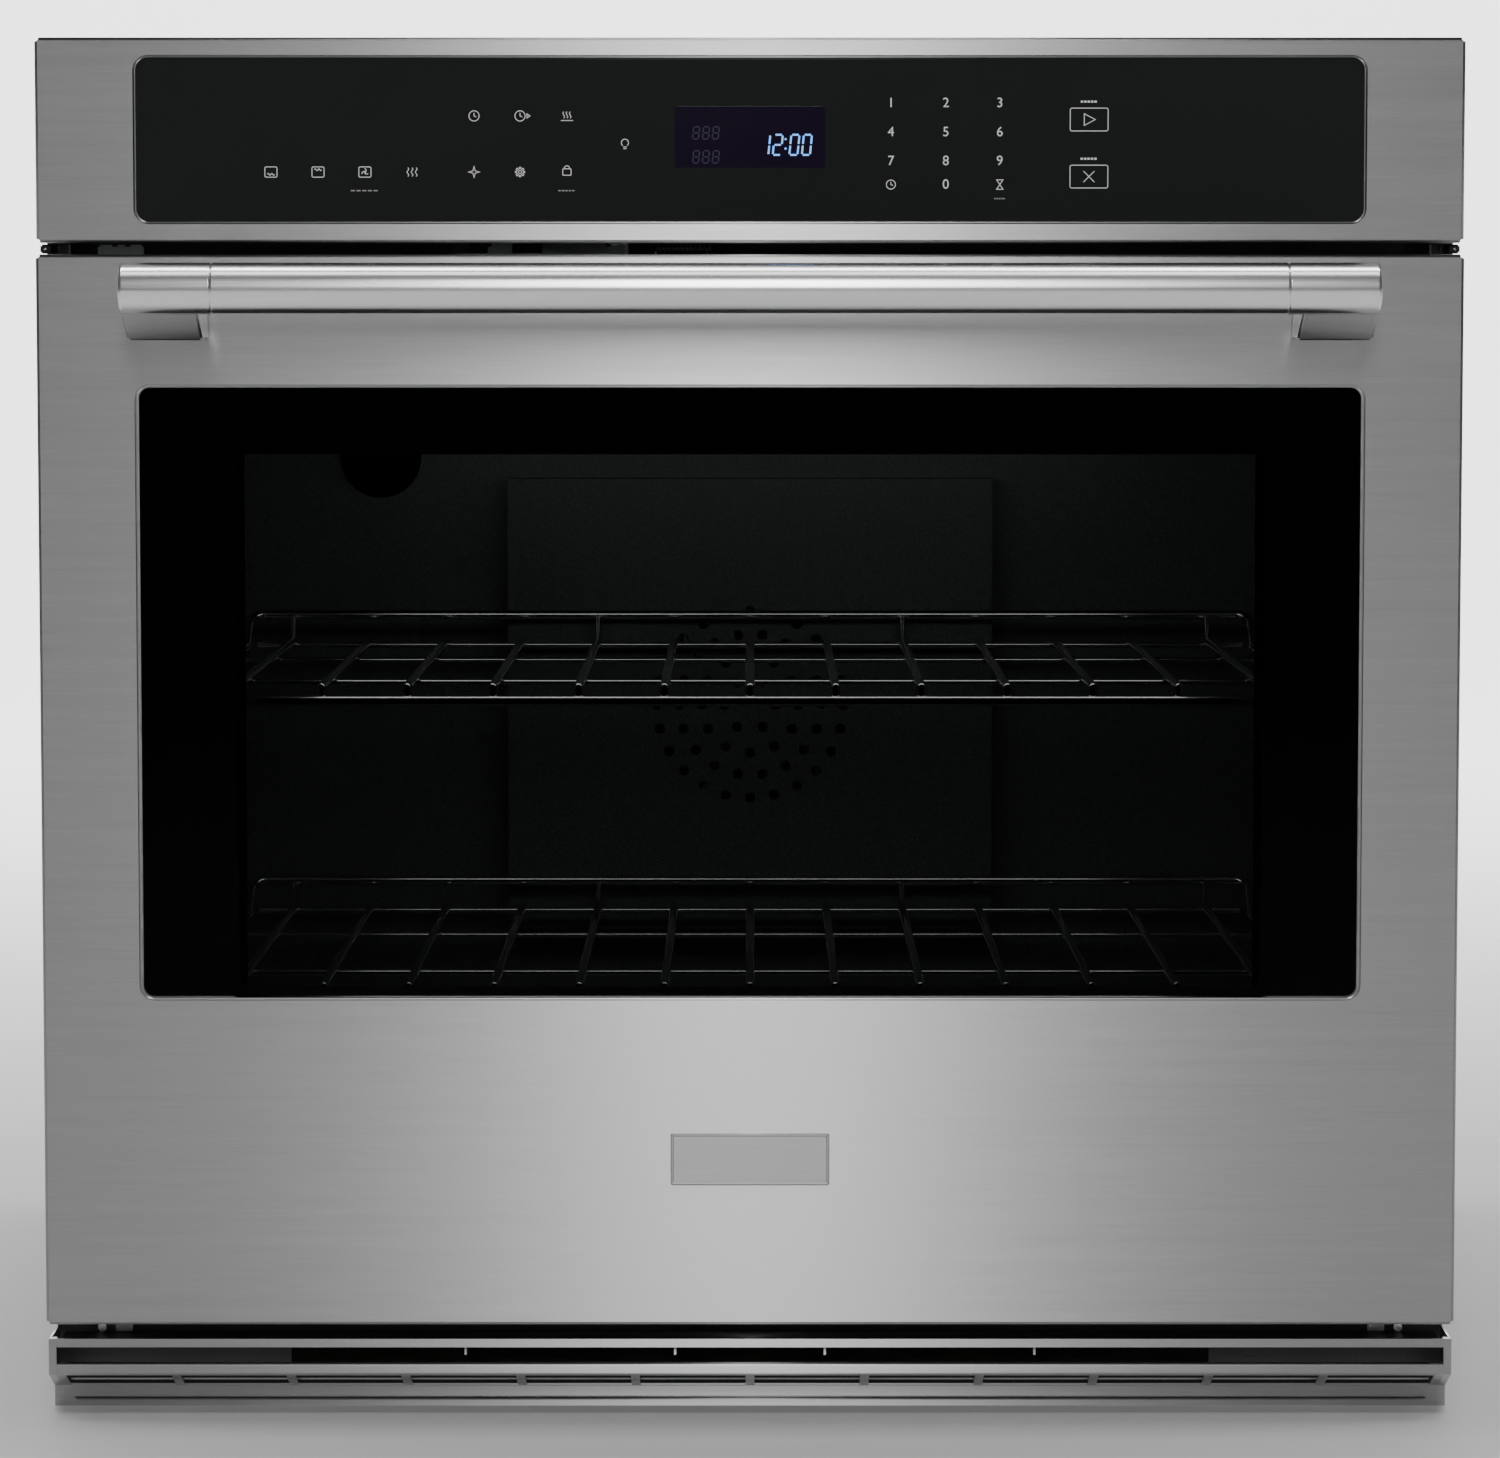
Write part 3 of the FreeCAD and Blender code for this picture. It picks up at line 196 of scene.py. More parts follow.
def face_lengths(node):
    """A CAD node's lowest corner, highest corner and size."""
    low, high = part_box(node)
    return low, high, high - low


# ---------------------------------------------------------------- materials

def material(name):
    """An empty node material with one shader in it."""
    made = bpy.data.materials.new(name)
    made.use_nodes = True
    nodes = made.node_tree.nodes
    nodes.clear()
    out = nodes.new("ShaderNodeOutputMaterial")
    shader = nodes.new("ShaderNodeBsdfPrincipled")
    made.node_tree.links.new(shader.outputs[0], out.inputs[0])
    return made, nodes, made.node_tree.links, shader


def mapped(nodes, links, scale):
    """Object coordinates stretched by a scale for each axis."""
    place = nodes.new("ShaderNodeTexCoord")
    stretch = nodes.new("ShaderNodeMapping")
    stretch.inputs["Scale"].default_value = scale
    links.new(place.outputs["Object"], stretch.inputs["Vector"])
    return stretch.outputs["Vector"]


def noise(nodes, links, vector, scale, detail=3.0, roughness=0.55):
    """Smooth noise."""
    made = nodes.new("ShaderNodeTexNoise")
    made.inputs["Scale"].default_value = scale
    made.inputs["Detail"].default_value = detail
    made.inputs["Roughness"].default_value = roughness
    links.new(vector, made.inputs["Vector"])
    return made.outputs["Fac"]


def spread(nodes, links, value, low, high, from_low=0.3, from_high=0.7):
    """A value mapped to a range."""
    made = nodes.new("ShaderNodeMapRange")
    made.inputs["From Min"].default_value = from_low
    made.inputs["From Max"].default_value = from_high
    made.inputs["To Min"].default_value = low
    made.inputs["To Max"].default_value = high
    links.new(value, made.inputs["Value"])
    return made.outputs["Result"]


def tint(nodes, links, value, dark, light):
    """A colour between two, by a value."""
    made = nodes.new("ShaderNodeValToRGB")
    made.color_ramp.elements[0].color = (*dark, 1)
    made.color_ramp.elements[1].color = (*light, 1)
    links.new(value, made.inputs["Fac"])
    return made.outputs["Color"]


def bump(nodes, links, shader, value, distance, strength):
    """Fine relief, with its depth in metres."""
    made = nodes.new("ShaderNodeBump")
    made.inputs["Strength"].default_value = strength
    made.inputs["Distance"].default_value = distance
    links.new(value, made.inputs["Height"])
    links.new(made.outputs["Normal"], shader.inputs["Normal"])


def brushed(name, tone, rough, grain, anisotropy=0.6):
    """Brushed steel: fine streaks along the grain, in colour, roughness and relief."""
    made, nodes, links, shader = material(name)
    fine = noise(nodes, links, mapped(nodes, links, grain), 1.0, 4.0, 0.7)
    broad = noise(nodes, links, mapped(nodes, links, tuple(value * 0.12 for value in grain)), 1.0, 2.0)
    mix = nodes.new("ShaderNodeMath")
    mix.operation = "MULTIPLY_ADD"
    mix.inputs[1].default_value = 0.35
    links.new(broad, mix.inputs[0])
    share = nodes.new("ShaderNodeMath")
    share.operation = "MULTIPLY"
    share.inputs[1].default_value = 0.65
    links.new(fine, share.inputs[0])
    links.new(share.outputs[0], mix.inputs[2])
    value = mix.outputs[0]
    dark = tuple(channel * 0.9 for channel in tone)
    light = tuple(min(1.0, channel * 1.08) for channel in tone)
    ranged = spread(nodes, links, value, 0.0, 1.0)
    links.new(tint(nodes, links, ranged, dark, light), shader.inputs["Base Color"])
    links.new(spread(nodes, links, value, rough - 0.04, rough + 0.05), shader.inputs["Roughness"])
    shader.inputs["Metallic"].default_value = 1.0
    shader.inputs["Anisotropic"].default_value = anisotropy
    shader.inputs["Anisotropic Rotation"].default_value = 0.25
    tangent = nodes.new("ShaderNodeTangent")
    tangent.direction_type = "RADIAL"
    tangent.axis = "Z"
    links.new(tangent.outputs[0], shader.inputs["Tangent"])
    bump(nodes, links, shader, fine, 0.00001, 0.3)
    return made


def painted(name, tone, rough, speckle, size=900.0, metallic=0.0, depth=0.00002):
    """Paint, enamel or plastic with a fine texture and a slight unevenness of tone."""
    made, nodes, links, shader = material(name)
    vector = mapped(nodes, links, (1, 1, 1))
    fine = noise(nodes, links, vector, size, 2.0)
    broad = noise(nodes, links, vector, 9.0, 4.0)
    light = tuple(min(1.0, channel * (1 + speckle) + 0.01 * speckle) for channel in tone)
    links.new(tint(nodes, links, spread(nodes, links, fine, 0, 1, 0.45, 0.75), tone, light),
              shader.inputs["Base Color"])
    links.new(spread(nodes, links, broad, rough - 0.05, rough + 0.07), shader.inputs["Roughness"])
    shader.inputs["Metallic"].default_value = metallic
    bump(nodes, links, shader, fine, depth, 0.6)
    return made


def spangled(name):
    """Zinc-coated sheet, with its crystals."""
    made, nodes, links, shader = material(name)
    vector = mapped(nodes, links, (1, 1, 1))
    cells = nodes.new("ShaderNodeTexVoronoi")
    cells.inputs["Scale"].default_value = 90.0
    cells.inputs["Randomness"].default_value = 1.0
    links.new(vector, cells.inputs["Vector"])
    grey = nodes.new("ShaderNodeSeparateColor")
    links.new(cells.outputs["Color"], grey.inputs[0])
    value = grey.outputs[0]
    links.new(tint(nodes, links, value, (0.50, 0.52, 0.53), (0.66, 0.68, 0.69)), shader.inputs["Base Color"])
    links.new(spread(nodes, links, value, 0.34, 0.5, 0, 1), shader.inputs["Roughness"])
    shader.inputs["Metallic"].default_value = 1.0
    bump(nodes, links, shader, noise(nodes, links, vector, 400.0), 0.00003, 0.4)
    return made


def fibrous(name, tone, size):
    """Matted or braided fibre."""
    made, nodes, links, shader = material(name)
    fine = noise(nodes, links, mapped(nodes, links, (1, 1, 3)), size, 6.0, 0.7)
    dark = tuple(channel * 0.55 for channel in tone)
    links.new(tint(nodes, links, spread(nodes, links, fine, 0, 1), dark, tone), shader.inputs["Base Color"])
    shader.inputs["Roughness"].default_value = 0.95
    shader.inputs["Sheen Weight"].default_value = 0.3
    bump(nodes, links, shader, fine, 0.0006, 0.9)
    return made


def see_through(name, shade, gloss_share):
    """A flat pane: mostly what is behind it, with a thin gloss and faint smears."""
    made, nodes, links, shader = material(name)
    out = [node for node in nodes if node.type == "OUTPUT_MATERIAL"][0]
    smear = noise(nodes, links, mapped(nodes, links, (3, 3, 9)), 3.0, 5.0)
    links.new(spread(nodes, links, smear, 0.03, 0.09), shader.inputs["Roughness"])
    shader.inputs["Base Color"].default_value = (0.004, 0.004, 0.0045, 1)
    shader.inputs["Specular IOR Level"].default_value = 0.12
    clear = nodes.new("ShaderNodeBsdfTransparent")
    clear.inputs["Color"].default_value = (*shade, 1)
    blend = nodes.new("ShaderNodeMixShader")
    blend.inputs[0].default_value = gloss_share
    links.new(clear.outputs[0], blend.inputs[1])
    links.new(shader.outputs[0], blend.inputs[2])
    links.new(blend.outputs[0], out.inputs[0])
    return made


def glossy_black(name, tone, rough, specular):
    """Printed black glass."""
    made, nodes, links, shader = material(name)
    smear = noise(nodes, links, mapped(nodes, links, (2, 2, 6)), 4.0, 5.0)
    links.new(spread(nodes, links, smear, rough, rough + 0.05), shader.inputs["Roughness"])
    broad = noise(nodes, links, mapped(nodes, links, (1, 1, 1)), 3.0)
    light = tuple(channel * 1.3 for channel in tone)
    links.new(tint(nodes, links, broad, tone, light), shader.inputs["Base Color"])
    shader.inputs["Specular IOR Level"].default_value = specular
    return made


def glowing(name, tone, strength):
    """Marks behind glass that give off light. The clock's figures are really lit; on printed marks and unlit figures
    the glow is painted light.
    """
    made, nodes, links, shader = material(name)
    flicker = noise(nodes, links, mapped(nodes, links, (1, 1, 1)), 200.0)
    dark = tuple(channel * 0.85 for channel in tone)
    links.new(tint(nodes, links, flicker, dark, tone), shader.inputs["Base Color"])
    links.new(tint(nodes, links, flicker, dark, tone), shader.inputs["Emission Color"])
    shader.inputs["Emission Strength"].default_value = strength
    shader.inputs["Roughness"].default_value = 0.5
    return made


GRAIN = (28.0, 420.0, 1500.0)
LOOKS = {
    "stainless": brushed("stainless", (0.56, 0.56, 0.56), 0.38, GRAIN, 1.0),
    "stainless_bar": brushed("stainless_bar", (0.93, 0.93, 0.935), 0.22, (14.0, 3000.0, 3000.0), 0.3),
    "black_glass": glossy_black("black_glass", (0.021, 0.0225, 0.022), 0.05, 0.06),
    "frit": glossy_black("frit", (0.0012, 0.0012, 0.0013), 0.06, 0.04),
    "clear_glass": see_through("clear_glass", (0.985, 0.99, 0.988), 0.02),
    "dark_glass": see_through("dark_glass", (0.93, 0.935, 0.935), 0.05),
    "enamel": painted("enamel", (0.12, 0.125, 0.13), 0.30, 1.2, 1500.0),
    "galvanised": spangled("galvanised"),
    "dark_frame": painted("dark_frame", (0.085, 0.085, 0.088), 0.42, 0.3),
    "mineral_wool": fibrous("mineral_wool", (0.72, 0.66, 0.50), 260.0),
    "gasket_braid": fibrous("gasket_braid", (0.10, 0.10, 0.105), 700.0),
    "chrome_wire": brushed("chrome_wire", (0.66, 0.66, 0.67), 0.16, (300, 40, 300), 0.0),
    "element_sheath": painted("element_sheath", (0.045, 0.042, 0.04), 0.55, 0.5, 1200.0),
    "bare_steel": brushed("bare_steel", (0.46, 0.46, 0.46), 0.34, (200, 300, 800), 0.0),
    "spring_steel": brushed("spring_steel", (0.90, 0.90, 0.90), 0.28, (900, 900, 900), 0.0),
    "fastener": brushed("fastener", (0.68, 0.68, 0.68), 0.22, (900, 900, 900), 0.0),
    "motor_case": painted("motor_case", (0.07, 0.07, 0.075), 0.4, 0.3),
    "aluminium": brushed("aluminium", (0.72, 0.73, 0.74), 0.32, (300, 300, 900), 0.0),
    "ceramic": painted("ceramic", (0.78, 0.76, 0.70), 0.25, 0.05),
    "black_plastic": painted("black_plastic", (0.012, 0.012, 0.013), 0.45, 0.4),
    "white_plastic": painted("white_plastic", (0.72, 0.72, 0.70), 0.4, 0.05),
    "circuit_board": painted("circuit_board", (0.012, 0.10, 0.035), 0.3, 0.4, 2500.0),
    "display": glossy_black("display", (0.012, 0.006, 0.022), 0.05, 0.3),
    # print_white and print_grey glow faintly: painted light on printed marks
    "print_white": glowing("print_white", (0.80, 0.80, 0.80), 0.25),
    "print_grey": glowing("print_grey", (0.35, 0.35, 0.35), 0.15),
    "led_blue": glowing("led_blue", (0.16, 0.42, 1.0), 1.6),
    # unlit glows faintly: painted light on the display's unlit figures
    "unlit": glowing("unlit", (0.02, 0.012, 0.05), 0.3),
    "badge": brushed("badge", (0.50, 0.50, 0.50), 0.36, GRAIN, 0.8),
}

for entry in frame["record"]["subparts"]:
    cad_node = NODES[entry["node"]]
    cad_node.data.materials.clear()
    cad_node.data.materials.append(LOOKS[entry["material_slot"]])


# ---------------------------------------------------------------- folded stainless skins

BEND = 1.6 * MM          # outer radius of a fold
SHEET = 0.9 * MM
LIP = 1.2 * MM           # radius of the rim that turns in round the glass
LIP_DEPTH = 3.6 * MM     # how far back that rim goes
RIM_GAP = 0.6 * MM       # between the rim and the glass
SKIN_CORNER = 8.0 * MM
CORNER_NOTCH = 0.5 * MM  # half the open slit where two returns meet
SLOT_START = 6.0 * MM    # how far behind the face a slot in the bottom return starts
SLOT_WIDTH = 9.0 * MM
ARM_CENTRE = 341.5 * MM  # a hinge arm's distance from the middle


def sheet_piece(name, bm, body, node, looks=("stainless",)):
    """Makes a folded surface into a steel sheet that stands for a CAD node."""
    mesh = bpy.data.meshes.new(name)
    bm.to_mesh(mesh)
    bm.free()
    piece = place(name, mesh)
    for look in looks:
        mesh.materials.append(LOOKS[look])
    keep_flats_flat(mesh, 30)
    thick = piece.modifiers.new("sheet", "SOLIDIFY")
    thick.thickness = SHEET
    thick.offset = -1.0
    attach(piece, body)
    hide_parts(node)


def turn_rim_in(bm, rim_verts, opening, radius, front):
    """The rim of an opening turns in towards the glass."""
    x_low, x_high, z_low, z_high = opening
    rows = [rim_verts]
    for step in range(1, 6):
        turn = math.radians(18 * step)
        inset = LIP * (1 - math.cos(turn))
        depth = LIP * math.sin(turn)
        loop = rounded_rectangle(x_low + inset, x_high - inset, z_low + inset, z_high - inset,
                                 radius - inset, front + depth, 10)
        rows.append([bm.verts.new(point) for point in loop])
    last = rounded_rectangle(x_low + LIP, x_high - LIP, z_low + LIP, z_high - LIP,
                             radius - LIP, front + LIP_DEPTH, 10)
    rows.append([bm.verts.new(point) for point in last])
    for near, far in zip(rows, rows[1:]):
        bridge(bm, near, far)


def slot_return(bm, rows, slots, y_slot, y_back, edge):
    """Replaces the last row of the bottom return with a flat that has slots open to the back."""
    ends = rows.pop()
    stops = [ends[0].co.x] + [x for slot in slots for x in slot] + [ends[1].co.x]
    bmesh.ops.delete(bm, geom=ends, context="VERTS")
    start = [bm.verts.new(Vector((x, y_slot, edge))) for x in stops]
    back = [bm.verts.new(Vector((x, y_back, edge))) for x in stops]
    bm.faces.new([rows[-1][0], rows[-1][1]] + start[::-1])
    for index in range(0, len(stops), 2):
        bm.faces.new((start[index], start[index + 1], back[index + 1], back[index]))


def folded_skin(name, node, body, opening, slots=()):
    """A folded face with a round-cornered opening, returns on four sides and open corner notches."""
    low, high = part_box(node)
    bm = bmesh.new()
    front = low.y
    outer = [Vector((x, front, z)) for x, z in (
        (low.x + BEND, low.z + BEND), (high.x - BEND, low.z + BEND),
        (high.x - BEND, high.z - BEND), (low.x + BEND, high.z - BEND))]
    rim = rounded_rectangle(*opening, SKIN_CORNER, front, 10)
    rim_verts = face_with_hole(bm, outer, rim)[1]
    turn_rim_in(bm, rim_verts, opening, SKIN_CORNER, front)
    # four returns, each a bend and a flat, stopped short of the corners
    for axis, sign in (("x", -1), ("x", 1), ("z", -1), ("z", 1)):
        if axis == "x":
            edge = high.x if sign > 0 else low.x
            span = (low.z + BEND, high.z - BEND)
        else:
            edge = high.z if sign > 0 else low.z
            span = (low.x + BEND, high.x - BEND)
        profile = []
        for step in range(7):
            turn = math.radians(15 * step)
            profile.append((edge - sign * BEND * (1 - math.sin(turn)), front + BEND * (1 - math.cos(turn))))
        profile.append((edge, high.y))
        rows = []
        for across, depth in profile:
            trim = 0 if depth < front + 0.02 * MM else CORNER_NOTCH
            widen = BEND - CORNER_NOTCH if depth > front + BEND else 0
            ends = (span[0] + trim - widen, span[1] - trim + widen)
            if axis == "x":
                row = [Vector((across, depth, end)) for end in ends]
            else:
                row = [Vector((end, depth, across)) for end in ends]
            rows.append([bm.verts.new(point) for point in row])
        if slots and axis == "z" and sign < 0:
            slot_return(bm, rows, slots, front + SLOT_START, high.y, edge)
        for near, far in zip(rows, rows[1:]):
            bridge(bm, near, far, closed=False)
    bmesh.ops.remove_doubles(bm, verts=bm.verts, dist=1e-6)
    bmesh.ops.recalc_face_normals(bm, faces=bm.faces)
    for face in bm.faces:
        if abs(face.normal.y) > 0.99 and face.calc_center_median().y < front + 0.0001 and face.normal.y > 0:
            bmesh.ops.reverse_faces(bm, faces=bm.faces)
            break
    sheet_piece(name, bm, body, node)


control_low, control_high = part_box("control_glass")
window_low, window_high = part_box("outer_glass")


def opening_round(low, high):
    """The opening in a skin round a glass, measured on the face."""
    grow = RIM_GAP + LIP
    return (low.x - grow, high.x + grow, low.z - grow, high.z + grow)


arm_slots = [(centre - SLOT_WIDTH / 2, centre + SLOT_WIDTH / 2) for centre in (-ARM_CENTRE, ARM_CENTRE)]
folded_skin("fascia_skin", "control_fascia", "chassis", opening_round(control_low, control_high))
folded_skin("door_face", "door_skin", "door", opening_round(window_low, window_high), arm_slots)


# ---------------------------------------------------------------- glass

GLASS_CORNER = 5.9 * MM
GLASS_EDGE = 0.5 * MM     # the ground edge of a pane
PRINT_CORNER = 6.0 * MM
PRINT_THICK = 0.1 * MM
MASK_HALF = 273.0 * MM    # the clear opening in the window's black print
MASK_TOP_GAP = 35.3 * MM
MASK_BOTTOM_GAP = 5.0 * MM


def glass_slab(name, node, body, look):
    """A pane with round corners and a ground edge."""
    low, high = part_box(node)
    edge = GLASS_EDGE
    bm = bmesh.new()
    plate(bm, (low.x, high.x, low.z, high.z), GLASS_CORNER,
          [(edge, low.y), (edge * 0.3, low.y + edge * 0.3), (0, low.y + edge), (0, high.y - edge), (edge, high.y)])
    piece = add_mesh(name, bm, LOOKS[look], body)
    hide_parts(node)


glass_slab("control_pane", "control_glass", "chassis", "black_glass")
glass_slab("window_pane", "outer_glass", "door", "dark_glass")


def build_frit():
    """The black print behind the door glass, open over the oven's mouth."""
    y = window_high.y + 0.05 * MM
    bm = bmesh.new()
    outer = rounded_rectangle(window_low.x, window_high.x, window_low.z, window_high.z, GLASS_CORNER, y, 8)
    inner = rounded_rectangle(-MASK_HALF, MASK_HALF, window_low.z + MASK_BOTTOM_GAP,
                              window_high.z - MASK_TOP_GAP, PRINT_CORNER, y, 8)
    behind = Vector((0, PRINT_THICK, 0))
    loops = [outer, inner, [point + behind for point in inner], [point + behind for point in outer], outer]
    loft(bm, loops, cap_start=False, cap_end=False)
    add_mesh("window_print", bm, LOOKS["frit"], "door")


build_frit()


# ---------------------------------------------------------------- marks on the control glass

MARK_Y = control_low.y - 0.04 * MM
MARK_THICK = 0.05 * MM
STROKE = 0.42             # millimetres, as all the marks' own sizes are
DIGIT_HEIGHT = 7.2 * MM
BAR_DASHES = 5            # a word is replaced with a row of short dashes
DASH_SHARE = 0.72


def circle_points(radius, start=0, end=360, steps=28, centre=(0, 0)):
    """An arc as (x, z) points; start and end are in degrees."""
    return [(centre[0] + radius * math.cos(math.radians(start + (end - start) * step / steps)),
             centre[1] + radius * math.sin(math.radians(start + (end - start) * step / steps)))
            for step in range(steps + 1)]


def ribbon(bm, points, width, closed, y):
    """A flat stroke of even width through points given in metres as (x, z)."""
    count = len(points)
    rails = []
    for index, (x, z) in enumerate(points):
        before = points[index - 1] if (closed or index > 0) else None
        after = points[(index + 1) % count] if (closed or index < count - 1) else None
        here = Vector((x, z))
        come = (here - Vector(before)).normalized() if before else None
        leave = (Vector(after) - here).normalized() if after else None
        come = come or leave
        leave = leave or come
        across = Vector((-(come + leave).y, (come + leave).x)).normalized()
        stretch = max(0.35, across.dot(Vector((-come.y, come.x))))
        offset = across * (width / 2 / stretch)
        rails.append((here + offset, here - offset))
    loops = []
    for left, right in rails:
        loops.append([Vector((left.x, y, left.y)), Vector((right.x, y, right.y)),
                      Vector((right.x, y + MARK_THICK, right.y)), Vector((left.x, y + MARK_THICK, left.y))])
    if closed:
        loops.append([point.copy() for point in loops[0]])
    loft(bm, loops, not closed, not closed)


def draw(bm, centre, strokes, width=STROKE, scale=1.0):
    """Strokes given in millimetres about a centre given in millimetres."""
    for points, closed in strokes:
        placed = [((centre[0] + x * scale) * MM, (centre[1] + z * scale) * MM) for x, z in points]
        ribbon(bm, placed, width * MM, closed, MARK_Y)


def wave(length, height, turns, start=(0, 0), upright=False):
    """A wavy stroke, for heat or air."""
    points = []
    for step in range(25):
        along = length * step / 24
        across = height * math.sin(2 * math.pi * turns * step / 24)
        points.append((start[0] + across, start[1] + along) if upright else (start[0] + along, start[1] + across))
    return points, False


def box_outline(width, height, radius=0.7):
    """A round-cornered frame."""
    loop = rounded_rectangle(-width / 2, width / 2, -height / 2, height / 2, radius, 0, 4)
    return [(point.x, point.z) for point in loop], True


def fan_strokes(radius):
    """A hub and three curved blades."""
    strokes = [(circle_points(radius * 0.22)[:-1], True)]
    for blade in range(3):
        turn = math.radians(120 * blade + 30)
        points = []
        for step in range(9):
            reach = radius * (0.3 + 0.7 * step / 8)
            angle = turn + 1.1 * step / 8
            points.append((reach * math.cos(angle), reach * math.sin(angle)))
        strokes.append((points, False))
    return strokes


def clock_strokes(radius):
    """A dial with two hands."""
    return [(circle_points(radius)[:-1], True), ([(0, radius * 0.6), (0, 0), (radius * 0.45, -radius * 0.2)], False)]


def gear_strokes():
    """A toothed wheel."""
    points = []
    for tooth in range(8):
        for turn, reach in ((-13, 1.7), (-9, 2.5), (9, 2.5), (13, 1.7)):
            angle = math.radians(45 * tooth + turn)
            points.append((reach * math.cos(angle), reach * math.sin(angle)))
    return [(points, True), (circle_points(0.8)[:-1], True)]


OVEN_BOX = box_outline(6.4, 5.4)
# each key's sign: its centre (x, z) in millimetres, and its strokes
ICONS = [
    ((-253.3, 667.2), [OVEN_BOX, wave(3.8, 0.5, 2.0, (-1.9, -1.2))]),
    ((-228.4, 667.2), [OVEN_BOX, wave(3.8, 0.5, 2.0, (-1.9, 1.2))]),
    ((-203.6, 667.2), [OVEN_BOX] + fan_strokes(1.9)),
    ((-178.7, 667.2), [wave(4.6, 0.45, 1.5, (-2.2, -2.3), True), wave(4.6, 0.45, 1.5, (0, -2.3), True),
                       wave(4.6, 0.45, 1.5, (2.2, -2.3), True)]),
    ((-145.8, 696.7), clock_strokes(2.7)),
    ((-121.5, 696.7), clock_strokes(2.7) + [([(3.7, -1.1), (5.3, 0), (3.7, 1.1)], True)]),
    ((-96.7, 696.7), [([(-3.2, -2.4), (3.2, -2.4)], False), wave(3.4, 0.4, 1.0, (-1.7, -1.2), True),
                      wave(3.4, 0.4, 1.0, (0, -1.2), True), wave(3.4, 0.4, 1.0, (1.7, -1.2), True)]),
    ((-145.9, 667.2), [([(0, 2.9), (0.6, 0.6), (2.9, 0), (0.6, -0.6), (0, -2.9), (-0.6, -0.6), (-2.9, 0),
                         (-0.6, 0.6)], True)]),
    ((-121.6, 667.2), gear_strokes()),
    ((-96.8, 667.2), [box_outline(4.4, 3.4, 0.4), (circle_points(1.4, 0, 180, 14, (0, 1.9)), False)]),
    ((-66.1, 681.9), [(circle_points(1.9, -50, 230, 26, (0, 0.7)), False), ([(-1.0, -1.5), (1.0, -1.5)], False),
                      ([(-0.8, -2.4), (0.8, -2.4)], False)]),
    ((74.5, 660.6), clock_strokes(2.4)),
    ((132.1, 660.6), [([(-1.7, 2.5), (1.7, 2.5), (-1.7, -2.5), (1.7, -2.5)], True)]),
    ((179.2, 694.8), [box_outline(20.0, 12.0, 0.9), ([(-2.6, -3.1), (3.2, 0), (-2.6, 3.1)], True)]),
    ((179.2, 664.8), [box_outline(20.0, 12.0, 0.9), ([(-2.9, -2.9), (2.9, 2.9)], False),
                      ([(-2.9, 2.9), (2.9, -2.9)], False)]),
]
# rows of dashes: centre, length, stroke width, look
BARS = [((179.2, 704.2), 9.0, 1.1, "print_white"), ((179.2, 674.2), 9.0, 1.1, "print_white"),
        ((-203.6, 657.4), 15.0, 0.7, "print_grey"), ((-96.8, 657.4), 9.0, 0.7, "print_grey"),
        ((132.1, 653.2), 6.0, 0.7, "print_grey")]
DIGITS = [("1", 74.5, 703.5), ("2", 103.5, 703.5), ("3", 132.0, 703.5), ("4", 74.5, 688.2), ("5", 103.5, 688.2),
          ("6", 132.0, 688.2), ("7", 74.5, 673.0), ("8", 103.5, 673.0), ("9", 132.0, 673.0), ("0", 103.5, 660.6)]
# the seven strokes of a display figure, on a grid one wide and two high
SEGMENTS = {
    "top": ((0, 2), (1, 2)), "left_up": ((0, 1), (0, 2)), "right_up": ((1, 1), (1, 2)), "middle": ((0, 1), (1, 1)),
    "left_down": ((0, 0), (0, 1)), "right_down": ((1, 0), (1, 1)), "bottom": ((0, 0), (1, 0)),
}
LIT = {
    "0": ("top", "left_up", "right_up", "left_down", "right_down", "bottom"),
    "1": ("right_up", "right_down"),
    "2": ("top", "right_up", "middle", "left_down", "bottom"),
    "8": tuple(SEGMENTS),
}


SLANT = 0.10
FIGURE = (676.2, 4.3, 10.6, 0.95)      # a clock figure's foot, width, height and stroke, in millimetres
FIGURE_PITCH = 6.6
SMALL_FIGURE = (3.2, 6.4, 0.7)


def segment_digit(bm, figure, left, low, width, height, stroke, y):
    """A seven-stroke figure with its lower left corner at (left, low), in millimetres."""
    for name in LIT[figure]:
        (x0, z0), (x1, z1) = SEGMENTS[name]
        points = []
        for x, z, other_x, other_z in ((x0, z0, x1, z1), (x1, z1, x0, z0)):
            gap = 0.5 * stroke
            px = left + x * width + (gap if other_x > x else -gap if other_x < x else 0)
            pz = low + z * height / 2 + (gap if other_z > z else -gap if other_z < z else 0)
            points.append(((px + SLANT * (pz - low)) * MM, pz * MM))
        ribbon(bm, points, stroke * MM, False, y)


